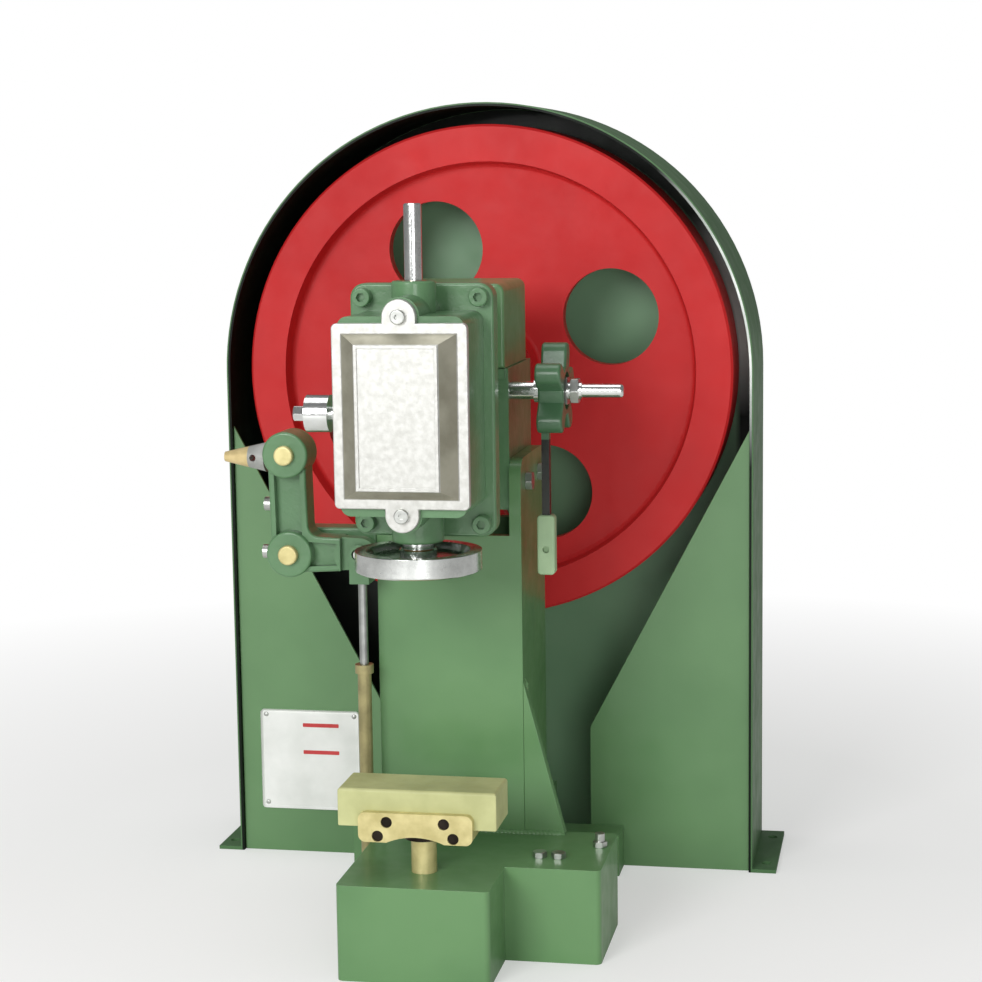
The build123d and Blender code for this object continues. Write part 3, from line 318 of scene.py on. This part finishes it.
sheet_green = enamel("sheet_green", srgb(88, 128, 82), srgb(98, 138, 91), 0.34, **sheet_skin)
plate_green = enamel("plate_green", srgb(86, 128, 80), srgb(97, 139, 89), 0.36, **plate_skin)
cast_green = enamel("cast_green", srgb(78, 116, 78), srgb(92, 132, 91), 0.32, **cast_skin)
# The guard's green is darker than the sheet's green: painted shade on its sides.
guard_green = enamel("guard_green", srgb(70, 106, 67), srgb(80, 116, 76), 0.40, **sheet_skin, coat=thin_coat)
# The back panel's green is paler than the sheet's green: painted light on a panel that stands in shade.
panel_green = enamel("panel_green", srgb(112, 156, 116), srgb(124, 166, 126), 0.40, **sheet_skin,
                     coat=panel_coat)
lever_green = enamel("lever_green", srgb(62, 100, 68), srgb(76, 115, 80), 0.32, **cast_skin)
wheel_red = enamel("wheel_red", srgb(186, 30, 32), srgb(200, 40, 41), 0.46, **wheel_skin, coat=thin_coat)
for paint in (guard_green, wheel_red):
    paint.node_tree.nodes["Principled BSDF"].inputs["Specular IOR Level"].default_value = dull_shine
print("enamels: sheet, plate, casting, guard, panel, lever, wheel")

# %% [markdown]
# The guard is painted green outside. Its inside gets painted shade, a green that is almost black, where the
# inside of the arch lies in shadow. Where the two meet is a question of place, so a mask measures it: how
# far a point lies from the middle of the arch. The inner skin of the sheet is nearer than the outer one. The
# same measure lays painted shade on the rim of the back panel.

# %% Masks from places
arch_middle = 0.550

Place = namedtuple("Place", "across depth height reach")


def between(tree, value, none, full):
    """A mask that grows from nothing at one value to full at the other."""
    ramp = tree.nodes.new("ShaderNodeMapRange")
    ramp.inputs["From Min"].default_value = none
    ramp.inputs["From Max"].default_value = full
    tree.links.new(value, ramp.inputs["Value"])
    return ramp.outputs["Result"]


def overlap(tree, first, *others):
    """A mask that holds where all of its masks hold."""
    for other in others:
        product = tree.nodes.new("ShaderNodeMath")
        product.operation = "MULTIPLY"
        tree.links.new(first, product.inputs[0])
        tree.links.new(other, product.inputs[1])
        first = product.outputs["Value"]
    return first


def places(tree):
    """A point's coordinates and its reach from the arch's middle, which is sideways only below the arch."""
    coords = tree.nodes.new("ShaderNodeTexCoord")
    split = tree.nodes.new("ShaderNodeSeparateXYZ")
    flat = tree.nodes.new("ShaderNodeCombineXYZ")
    reach = tree.nodes.new("ShaderNodeVectorMath")
    reach.operation = "LENGTH"
    tree.links.new(coords.outputs["Object"], split.inputs["Vector"])
    tree.links.new(split.outputs["X"], flat.inputs["X"])
    tree.links.new(between(tree, split.outputs["Z"], arch_middle, arch_middle + 1), flat.inputs["Z"])
    tree.links.new(flat.outputs["Vector"], reach.inputs[0])
    return Place(split.outputs["X"], split.outputs["Y"], split.outputs["Z"], reach.outputs["Value"])


print("arch turns about a height of", arch_middle)

# %% Laying one paint over another
mask_width = 0.0004
mottle_scale = 30.0


def paint_over(material, mask, deep, fair, shine):
    """Lay a second paint where the mask holds. The first such paint on a material also sets its shine."""
    tree = material.node_tree
    shader = tree.nodes["Principled BSDF"]
    base, level = shader.inputs["Base Color"], shader.inputs["Specular IOR Level"]
    mix = tree.nodes.new("ShaderNodeMix")
    mix.data_type = "RGBA"
    # The node has sockets for each kind of data: these are the factor and the two colours.
    mix_factor, mix_under, mix_over = mix.inputs[0], mix.inputs[6], mix.inputs[7]
    tree.links.new(mask, mix_factor)
    tree.links.new(base.links[0].from_socket, mix_under)
    tree.links.new(two_colours(tree, cloud(tree, mottle_scale), deep, fair), mix_over)
    tree.links.new(mix.outputs[2], base)
    if not level.is_linked:
        gloss = tree.nodes.new("ShaderNodeMapRange")
        gloss.inputs["To Min"].default_value = level.default_value
        gloss.inputs["To Max"].default_value = shine
        tree.links.new(mask, gloss.inputs["Value"])
        tree.links.new(gloss.outputs["Result"], level)


print("masks end within", mask_width, "metres")

# %% [markdown]
# On the right the inner skin of the guard gets a painted highlight: a pale, thin bright line where the light
# falls on it. A second mask, made of a side and a height, keeps that paler paint to its place.

# %% Painted shade and a painted highlight inside the guard
skin_radius = 0.2912
guard_highlight_across = (0.19, 0.26)
guard_highlight_height = (arch_middle - 0.10, arch_middle + 0.02)
# Near-black painted shade, for the inside of the guard and for the back panel.
painted_shade_deep, painted_shade_fair = srgb(7, 15, 9), srgb(13, 24, 14)
painted_light_shine = 0.15

tree = guard_green.node_tree
point = places(tree)
inner = between(tree, point.reach, skin_radius + mask_width, skin_radius)
right_side = between(tree, point.across, *guard_highlight_across)
upper_part = between(tree, point.height, *guard_highlight_height)
guard_highlight = overlap(tree, inner, right_side, upper_part)
# Painted shade: the inner skin of the guard near-black.
paint_over(guard_green, inner, painted_shade_deep, painted_shade_fair, painted_light_shine)
# Painted highlight: a pale band on the right of the inner skin.
paint_over(guard_green, guard_highlight, srgb(196, 206, 198), srgb(240, 244, 240), painted_light_shine)
print("guard shaded inside a radius of", skin_radius)

# %% [markdown]
# The back panel is green behind the wheel's windows. Towards its rim and in its lower left, where it shows
# through the slanted opening, it gets painted shade. On the right of the rim a painted highlight is paler
# than the rest. All three are masks on the panel's front face, so that its back stays plain green.

# %% Painted shade and a painted highlight on the back panel
rim_radius = (0.262, 0.268)
corner_across = (-0.05, -0.08)
corner_height = (arch_middle - 0.11, arch_middle - 0.16)
highlight_across = (0.19, 0.23)
highlight_rise = (arch_middle - 0.06, arch_middle + 0.02)
highlight_fall = (arch_middle + 0.17, arch_middle + 0.05)

panel_middle_y = sum(corner[1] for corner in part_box("back_panel")) / 2
tree = panel_green.node_tree
point = places(tree)
front_face = between(tree, point.depth, panel_middle_y + mask_width, panel_middle_y)
rim = overlap(tree, between(tree, point.reach, *rim_radius), front_face)
left_side = between(tree, point.across, *corner_across)
lower_part = between(tree, point.height, *corner_height)
right_side = between(tree, point.across, *highlight_across)
highlight_band = overlap(tree, between(tree, point.height, *highlight_rise), between(tree, point.height, *highlight_fall))
lower_left = overlap(tree, left_side, lower_part, front_face)
painted_highlight = overlap(tree, rim, right_side, highlight_band)
# Painted shade: the panel's rim near-black, behind the wheel's edge.
paint_over(panel_green, rim, painted_shade_deep, painted_shade_fair, painted_light_shine)
# Painted shade: the lower left near-black, behind the column.
paint_over(panel_green, lower_left, painted_shade_deep, painted_shade_fair, painted_light_shine)
# Painted highlight: a pale band on the right of the panel's rim.
paint_over(panel_green, painted_highlight, srgb(238, 242, 240), srgb(250, 252, 250), painted_light_shine)
print("panel shaded beyond a radius of", rim_radius[0])

# %% [markdown]
# ## Bare metals
# The ram, the studs and the disc are bare steel. The screws are plated, and the pins and the anvil's holder
# have a yellow coat. A plain metal shader looks like a mirror, and real metal never does: fine marks from
# grinding scatter the light. So the gloss follows a fine grain, and the same grain is the bump.

# %% Recipe for metal
grain_detail = 4.0
tan_grain = (300.0, 0.00004)
tan_metallic = 0.45


def metal(name, deep, fair, rough, grain, metallic=1.0, mottle=60.0):
    """Metal whose gloss runs between two values over a grain, given as its scale and its depth."""
    material, tree, shader = finish(name)
    grain_scale, grain_depth = grain
    marks = cloud(tree, grain_scale, grain_detail)
    tree.links.new(two_colours(tree, cloud(tree, mottle), deep, fair), shader.inputs["Base Color"])
    tree.links.new(spread(tree, marks, *rough), shader.inputs["Roughness"])
    relief(tree, shader, ((marks, grain_depth),))
    shader.inputs["Metallic"].default_value = metallic
    return material


def tan_metal(name, deep, fair, rough):
    """Steel under a yellow coat, half metal and half colour."""
    return metal(name, deep, fair, rough, tan_grain, tan_metallic)


polished = metal("polished_steel", srgb(222, 224, 222), srgb(236, 238, 236), (0.14, 0.26), (500.0, 0.00002))
ground = metal("ground_steel", srgb(150, 152, 150), srgb(176, 178, 175), (0.30, 0.44), (300.0, 0.00003))
zinc = metal("zinc_steel", srgb(180, 182, 178), srgb(205, 207, 203), (0.28, 0.42), (400.0, 0.00004))
blackened = metal("blackened_steel", srgb(38, 34, 30), srgb(58, 52, 46), (0.35, 0.5), (300.0, 0.00004))
bronze = metal("bearing_bronze", srgb(176, 136, 84), srgb(204, 164, 106), (0.25, 0.4), (400.0, 0.00003))
passivated = tan_metal("passivated_tan", srgb(196, 184, 126), srgb(222, 210, 152), (0.32, 0.48))
tipped = tan_metal("tipped_tan", srgb(206, 184, 130), srgb(228, 206, 152), (0.32, 0.48))
# The sleeve's tan is darker than the pins' tan.
darker_tan = tan_metal("darker_sleeve_tan", srgb(142, 134, 94), srgb(168, 158, 112), (0.36, 0.52))
print("metals: polished, ground, zinc, blackened, bronze, passivated, tipped, aged")

# %% [markdown]
# The striker disc was turned on a lathe, and the tool left fine circles round its axis. A wave texture
# makes them, with its rings moved to the middle of the disc by a Mapping node.

# %% Steel from the lathe
turned_rough = (0.16, 0.28)
turned_grain_scale = 300.0
turned_mottle = 60.0
rings_per_metre = 120.0
ring_depth = 0.00004

disc_low, disc_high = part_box("striker_disc")
disc_x = (disc_low[0] + disc_high[0]) / 2
disc_y = (disc_low[1] + disc_high[1]) / 2

turned, tree, shader = finish("turned_steel")
coords = tree.nodes.new("ShaderNodeTexCoord")
shift = tree.nodes.new("ShaderNodeMapping")
shift.inputs["Location"].default_value = (-disc_x, -disc_y, 0)
rings = tree.nodes.new("ShaderNodeTexWave")
rings.wave_type = "RINGS"
rings.rings_direction = "Z"
rings.inputs["Scale"].default_value = rings_per_metre
steel = two_colours(tree, cloud(tree, turned_mottle), srgb(196, 198, 196), srgb(222, 224, 222))
gloss = spread(tree, cloud(tree, turned_grain_scale), *turned_rough)
tree.links.new(coords.outputs["Object"], shift.inputs["Vector"])
tree.links.new(shift.outputs["Vector"], rings.inputs["Vector"])
tree.links.new(steel, shader.inputs["Base Color"])
tree.links.new(gloss, shader.inputs["Roughness"])
relief(tree, shader, ((rings.outputs["Fac"], ring_depth),))
shader.inputs["Metallic"].default_value = 1.0
print("disc turned about", round(disc_x, 4), round(disc_y, 4))

# %% [markdown]
# The pale cover is a blasted casting, bright on its flat faces. The four slopes round its panel get a
# darker, warmer colour, which is painted shade and a painted reflection. The slopes are the only part of the
# cover between two depths, so one mask along the depth finds all four.

# %% Pale cover with painted shade and reflection on its slopes
cover_grain = (260.0, 0.00010)
cover_metallic = 0.7
cover_mottle = 170.0
cover_flange = 0.007
slope_depth = 0.015
slope_margin = 0.0006
plain_shine = 0.5

pale_cast = metal("pale_casting", srgb(193, 193, 188), srgb(209, 209, 205), (0.34, 0.50), cover_grain,
                  cover_metallic, cover_mottle)
slope_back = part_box("front_cover")[1][1] - cover_flange
slope_front = slope_back - slope_depth
tree = pale_cast.node_tree
point = places(tree)
behind_panel = between(tree, point.depth, slope_front + slope_margin, slope_front + 2 * slope_margin)
before_rim = between(tree, point.depth, slope_back - slope_margin, slope_back - 2 * slope_margin)
slopes = overlap(tree, behind_panel, before_rim)
# Painted shade and reflection: the slopes darker and warmer than the flat faces.
paint_over(pale_cast, slopes, srgb(150, 147, 130), srgb(176, 173, 156), plain_shine)
print("cover dull between", round(slope_front, 4), "and", round(slope_back, 4))

# %% [markdown]
# Two pieces change colour along their length. The trip finger has a tan tip on a bare steel root. The clutch
# lever's arm below its green hub gets painted shade, almost black. A mask along the length lays the second
# colour over the first.

# %% Bare root of the trip finger and painted shade on the clutch lever's arm
root_length = 0.030
hub_reach = 0.049
arm_shade_shine = 0.3

root_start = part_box("trip_finger")[1][0] - root_length
tree = tipped.node_tree
root = between(tree, places(tree).across, root_start - mask_width, root_start)
paint_over(tipped, root, srgb(150, 152, 148), srgb(190, 192, 188), plain_shine)

arm_top = arch_middle - hub_reach
tree = lever_green.node_tree
arm = between(tree, places(tree).height, arm_top, arm_top - mask_width)
# Painted shade: the lever's arm almost black below its hub.
paint_over(lever_green, arm, srgb(18, 22, 16), srgb(30, 34, 26), arm_shade_shine)
print("finger bare from", round(root_start, 4), "and lever black below", round(arm_top, 4))

# %% [markdown]
# ## Mouldings
# The block under the disc is a tough plastic that is struck all day, and the lever's grip is a softer one.
# Both are scuffed, so the colour has a broad mottle, and the skin has shallow dents with fine pores in
# them. The plate and its bars use the same recipe in white and red.

# %% Moulded block, grip and plate
scuff_scale, scuff_detail = 25.0, 6.0
haze_scale, haze_spread = 120.0, 0.15
dent_scale, dent_detail, dent_depth = 90.0, 5.0, 0.0002
pore_scale, pore_depth = 900.0, 0.00004


def moulded(name, deep, fair, rough):
    """Tough plastic with scuffs and a soft mottle."""
    material, tree, shader = finish(name)
    colour = two_colours(tree, cloud(tree, scuff_scale, scuff_detail), deep, fair)
    haze = spread(tree, cloud(tree, haze_scale), rough, rough + haze_spread)
    dents = cloud(tree, dent_scale, dent_detail)
    pores = cloud(tree, pore_scale)
    tree.links.new(colour, shader.inputs["Base Color"])
    tree.links.new(haze, shader.inputs["Roughness"])
    relief(tree, shader, ((dents, dent_depth), (pores, pore_depth)))
    return material


plate_white = moulded("plate_white", srgb(220, 222, 218), srgb(234, 235, 232), 0.35)
bar_red = moulded("bar_red", srgb(186, 44, 46), srgb(200, 60, 60), 0.4)
block_tan = moulded("block_tan", srgb(176, 178, 124), srgb(196, 198, 142), 0.45)
grip_green = moulded("grip_green", srgb(150, 178, 138), srgb(166, 194, 152), 0.4)
print("mouldings: plate, bars, block, grip")

# %% [markdown]
# ## Finishes on their pieces
# The record names a material slot for each node, so most finishes are given out by slot. Seven pieces
# differ from the others of their slot and have a finish of their own.

# %% Finishes by slot and by node
finish_of_slot = {
    "green_sheet": sheet_green,
    "green_weldment": plate_green,
    "green_casting": cast_green,
    "light_green_grip": grip_green,
    "red_casting": wheel_red,
    "pale_casting": pale_cast,
    "polished_steel": polished,
    "zinc_steel": zinc,
    "dark_steel": blackened,
    "tan_metal": passivated,
    "bronze": bronze,
    "tan_block": block_tan,
}
own_finish = {
    "guard_arch": guard_green,
    "back_panel": panel_green,
    "pedal_rod": ground,
    "rod_sleeve": darker_tan,
    "trip_finger": tipped,
    "clutch_lever": lever_green,
    "striker_disc": turned,
}
slot_of_node = {entry["node"]: entry["material_slot"] for entry in frame["record"]["subparts"]}
for name, node in nodes.items():
    for holder in node.material_slots:
        holder.material = own_finish.get(name, finish_of_slot[slot_of_node[name]])
print("finishes on", len(nodes), "nodes, of which", len(own_finish), "have their own")

# %% [markdown]
# ## Edges
# No real edge is sharp. A folded sheet keeps a small radius, a casting is dressed with a file, and a plate
# is ground before it is painted. Light catches those edges, and that is what tells the eye how heavy a
# piece is. A bevel in the shader would be quicker, but it would be lost in the exported mesh. So each solid
# is copied, its loose triangles are joined into whole faces, and its edges are bevelled by the amount that
# its trade would leave.

# %% Copy a node and round its edges
merge_distance = 0.00001
flat_angle = math.radians(0.5)
edge_angle = math.radians(35)
smooth_angle = math.radians(40)
edge_segments = 2


def edges_to_round(mesh, wanted):
    """Give full bevel weight to the edges whose two ends are wanted."""
    weights = mesh.attributes.new("bevel_weight_edge", "FLOAT", "EDGE")
    for edge in mesh.edges:
        ends = [mesh.vertices[index].co for index in edge.vertices]
        weights.data[edge.index].value = 1.0 if all(wanted(end) for end in ends) else 0.0


def dressed(name, width, wanted=None):
    """A copy of a node with rounded edges, which takes the node's place."""
    source = nodes[name]
    bpy.ops.object.select_all(action="DESELECT")
    source.select_set(True)
    bpy.context.view_layer.objects.active = source
    bpy.ops.object.duplicate()
    copy = bpy.context.object
    copy.name = name + "_dressed"
    copy.parent = None
    del copy["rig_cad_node"]
    bpy.ops.object.mode_set(mode="EDIT")
    bpy.ops.mesh.select_all(action="SELECT")
    bpy.ops.mesh.customdata_custom_splitnormals_clear()
    bpy.ops.mesh.remove_doubles(threshold=merge_distance)
    bpy.ops.mesh.dissolve_limited(angle_limit=flat_angle)
    bpy.ops.object.mode_set(mode="OBJECT")
    bevel = copy.modifiers.new("round_edges", "BEVEL")
    bevel.width = width
    bevel.segments = edge_segments
    bevel.angle_limit = edge_angle
    if wanted is not None:
        edges_to_round(copy.data, wanted)
        bevel.limit_method = "WEIGHT"
    bpy.ops.object.modifier_apply(modifier=bevel.name)
    bpy.ops.object.shade_smooth_by_angle(angle=smooth_angle)
    weighted = copy.modifiers.new("flat_faces_stay_flat", "WEIGHTED_NORMAL")
    weighted.keep_sharp = True
    bpy.ops.object.modifier_apply(modifier=weighted.name)
    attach(copy, body_of_node[name])
    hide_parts(name)
    print(copy.name, "faces:", len(copy.data.polygons))


# %% Sheet, plate and castings, each with its own edge
edge_width = {
    "guard_arch": 0.0007,
    "back_panel": 0.0007,
    "front_panel_left": 0.0007,
    "front_panel_right": 0.0007,
    "bed": 0.0020,
    "side_gusset": 0.0010,
    "anvil_block": 0.0012,
    "anvil_holder": 0.0007,
    "front_cover": 0.0006,
    "flywheel": 0.0010,
    "striker_disc": 0.0005,
    "crank_bracket": 0.0008,
    "trip_finger": 0.0010,
}
for name, width in edge_width.items():
    dressed(name, width)

# %% [markdown]
# The column is a box of four welded plates whose seams are ground flush. So only its outer corners are
# rounded, and the joints between the plates stay invisible under the paint.

# %% Outer corners of the column
column_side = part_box("column_cheek_right")[1][0]
corner_margin = 0.0001
corner_width = 0.0014


def on_outer_face(point):
    return abs(point.x) > column_side - corner_margin


for name in ("column_cheek_left", "column_cheek_right"):
    dressed(name, corner_width, on_outer_face)
print("column half width:", round(column_side, 4))

# %% [markdown]
# ## Weld seams
# Where plates meet, a torch has laid a bead of molten steel that froze in small ripples. A bead could be a
# bevelled curve, but a curve has the same thickness all along. Here it is a bent grid: its length runs
# along the seam, and its width is rolled round the seam's line, with the radius going up and down once for
# every ripple. The seam's line is a route: its length, and a function that gives the place at each share of
# that length.

# %% Routes that a seam can follow
def straight(start, end):
    """A route from one point to another."""
    start, end = Vector(start), Vector(end)
    run = end - start
    side = run.orthogonal().normalized()
    up = run.normalized().cross(side)
    return run.length, lambda share: (start + run * share, side, up)


def round_the_arch(radius, depth, foot):
    """A route up the guard's left side, round its arch and down the right side."""
    leg = arch_middle - foot
    arc = math.pi * radius
    length = leg + arc + leg
    back = Vector((0, 1, 0))

    def place(share):
        gone = share * length
        turn = math.pi - min(max(gone - leg, 0), arc) / radius
        out = Vector((math.cos(turn), 0, math.sin(turn)))
        drop = max(leg - gone, 0) + max(gone - leg - arc, 0)
        return Vector((0, depth, arch_middle - drop)) + out * radius, out, back

    return length, place


print("routes: straight, round the arch")

# %% Roll a grid into a bead
ripple_depth = 0.16
steps_per_ripple = 5
steps_around = 10
fewest_ripples = 2
bead_overlap = 0.25
end_share = 0.35
end_slope = 0.5


def weld_bead(name, route, radius, material):
    """A seam of weld metal along a route, half sunk in the corner that it fills."""
    length, place = route
    ripples = max(fewest_ripples, round(length / radius))
    steps_along = ripples * steps_per_ripple
    bpy.ops.object.select_all(action="DESELECT")
    bpy.ops.mesh.primitive_grid_add(x_subdivisions=steps_along, y_subdivisions=steps_around, size=1)
    bead = bpy.context.object
    bead.name = name
    for vertex in bead.data.vertices:
        along = vertex.co.x + 0.5
        turn = (vertex.co.y + 0.5) * 2 * math.pi
        lead = bead_overlap * math.cos(turn)
        wave = abs(math.sin(math.pi * (along * ripples + lead)))
        to_end = min(along, 1 - along) * length / radius
        taper = min(1.0, to_end * end_slope + end_share)
        bulge = radius * taper * (1 - ripple_depth * wave)
        middle, side, up = place(along)
        vertex.co = middle + (side * math.cos(turn) + up * math.sin(turn)) * bulge
    bpy.ops.object.mode_set(mode="EDIT")
    bpy.ops.mesh.select_all(action="SELECT")
    bpy.ops.mesh.remove_doubles(threshold=merge_distance)
    bpy.ops.mesh.fill_holes(sides=0)
    bpy.ops.mesh.normals_make_consistent(inside=False)
    bpy.ops.object.mode_set(mode="OBJECT")
    bpy.ops.object.shade_smooth()
    bead.data.materials.append(material)
    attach(bead, "frame")
    print(name, "ripples:", ripples)


# %% Seams round the foot of the column and of its rib
column_bead = 0.0042

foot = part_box("column_cheek_right")[0][2]
plate_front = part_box("column_front_plate")[0][1]
plate_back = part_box("column_back_plate")[1][1]
rib_right, rib_back, rib_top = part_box("side_gusset")[1]
column_seams = {
    "weld_front": straight((-column_side, plate_front, foot), (rib_right, plate_front, foot)),
    "weld_back": straight((-column_side, plate_back, foot), (column_side, plate_back, foot)),
    "weld_rib_side": straight((column_side, rib_back, foot), (column_side, rib_back, rib_top)),
}
for name, route in column_seams.items():
    weld_bead(name, route, column_bead, plate_green)

# %% [markdown]
# The back panel is welded into the arch by a thin seam on the outside. It closes the gap all round, so that
# no light comes through.

# %% Seam round the back panel
panel_bead = 0.0022

panel_low, panel_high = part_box("back_panel")
seam_depth = panel_high[1] - panel_bead / 2
seam_foot = panel_low[2] + 2 * panel_bead
panel_seam = round_the_arch(panel_high[0], seam_depth, seam_foot)
weld_bead("weld_panel", panel_seam, panel_bead, sheet_green)

# %% [markdown]
# ## Plate on the left panel
# A thin white plate is riveted to the left panel. It is kept plain: two red bars stand where a plate of
# this kind has its headings. A plate is stamped from sheet, so it starts as a block, its four standing
# edges are rounded, and then the rim is broken by a much smaller bevel.

# %% A thin plate with round corners
corner_segments = 5


def flat_plate(name, sides, heights, depths, corner, material):
    """A thin upright plate between two sides, two heights and two depths."""
    left, right = sides
    low, high = heights
    front, back = depths
    bpy.ops.object.select_all(action="DESELECT")
    bpy.ops.mesh.primitive_cube_add(size=1)
    plate = bpy.context.object
    plate.name = name
    bpy.ops.object.mode_set(mode="EDIT")
    bpy.ops.mesh.select_all(action="SELECT")
    bpy.ops.transform.resize(value=(right - left, back - front, high - low))
    bpy.ops.transform.translate(value=((left + right) / 2, (front + back) / 2, (low + high) / 2))
    bpy.ops.mesh.select_all(action="DESELECT")
    bpy.ops.object.mode_set(mode="OBJECT")
    for edge in plate.data.edges:
        first, second = [plate.data.vertices[index].co for index in edge.vertices]
        edge.select = abs(first.y - second.y) > (back - front) / 2
    bpy.ops.object.mode_set(mode="EDIT")
    bpy.ops.mesh.select_mode(type="EDGE")
    bpy.ops.mesh.bevel(offset=corner, segments=corner_segments)
    bpy.ops.object.mode_set(mode="OBJECT")
    rim = plate.modifiers.new("rim", "BEVEL")
    rim.width = (back - front) / 4
    rim.angle_limit = edge_angle
    bpy.ops.object.modifier_apply(modifier=rim.name)
    bpy.ops.object.shade_smooth_by_angle(angle=smooth_angle)
    plate.data.materials.append(material)
    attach(plate, "frame")
    print(name, "faces:", len(plate.data.polygons))


# %% White plate and red bars
plate_sides = (-0.266, -0.151)
plate_heights = (0.051, 0.166)
plate_thickness = 0.0009
plate_corner = 0.004
bar_sides = (-0.217, -0.175)
bar_middles = (0.1485, 0.1170)
bar_half = 0.0022
bar_thickness = 0.0003
bar_corner = 0.0008

panel_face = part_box("front_panel_left")[0][1]
plate_face = panel_face - plate_thickness
plate_depths = (plate_face, panel_face)
bar_depths = (plate_face - bar_thickness, plate_face)
flat_plate("blank_plate", plate_sides, plate_heights, plate_depths, plate_corner, plate_white)
for number, middle in enumerate(bar_middles, start=1):
    bar_name = "plate_bar_" + str(number)
    bar_heights = (middle - bar_half, middle + bar_half)
    flat_plate(bar_name, bar_sides, bar_heights, bar_depths, bar_corner, bar_red)

# %% [markdown]
# Four round-headed rivets hold the plate, one in each corner. A rivet's head is a flattened ball that is
# half sunk in the plate. Each is shaped in edit mode, so that its place is in its mesh, and the four are
# joined into one set.

# %% Rivets in the plate's corners
rivet_radius = 0.0028
rivet_inset = 0.006
rivet_flatness = 0.5

rivets = []
for x in (plate_sides[0] + rivet_inset, plate_sides[1] - rivet_inset):
    for z in (plate_heights[0] + rivet_inset, plate_heights[1] - rivet_inset):
        bpy.ops.object.select_all(action="DESELECT")
        bpy.ops.mesh.primitive_uv_sphere_add(segments=20, ring_count=10, radius=rivet_radius)
        bpy.ops.object.mode_set(mode="EDIT")
        bpy.ops.mesh.select_all(action="SELECT")
        bpy.ops.transform.resize(value=(1, rivet_flatness, 1))
        bpy.ops.transform.translate(value=(x, plate_face, z))
        bpy.ops.object.mode_set(mode="OBJECT")
        rivets.append(bpy.context.object)
for rivet in rivets:
    rivet.select_set(True)
bpy.context.view_layer.objects.active = rivets[0]
print("rivets:", len(rivets))

# %% Join the rivets
bpy.ops.object.join()
rivet_set = bpy.context.object
rivet_set.name = "plate_rivets"
bpy.ops.object.shade_smooth()
rivet_set.data.materials.append(zinc)
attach(rivet_set, "frame")
print("faces in the set:", len(rivet_set.data.polygons))

# %% [markdown]
# ## End

# %% End of the script
print("machine dressed")
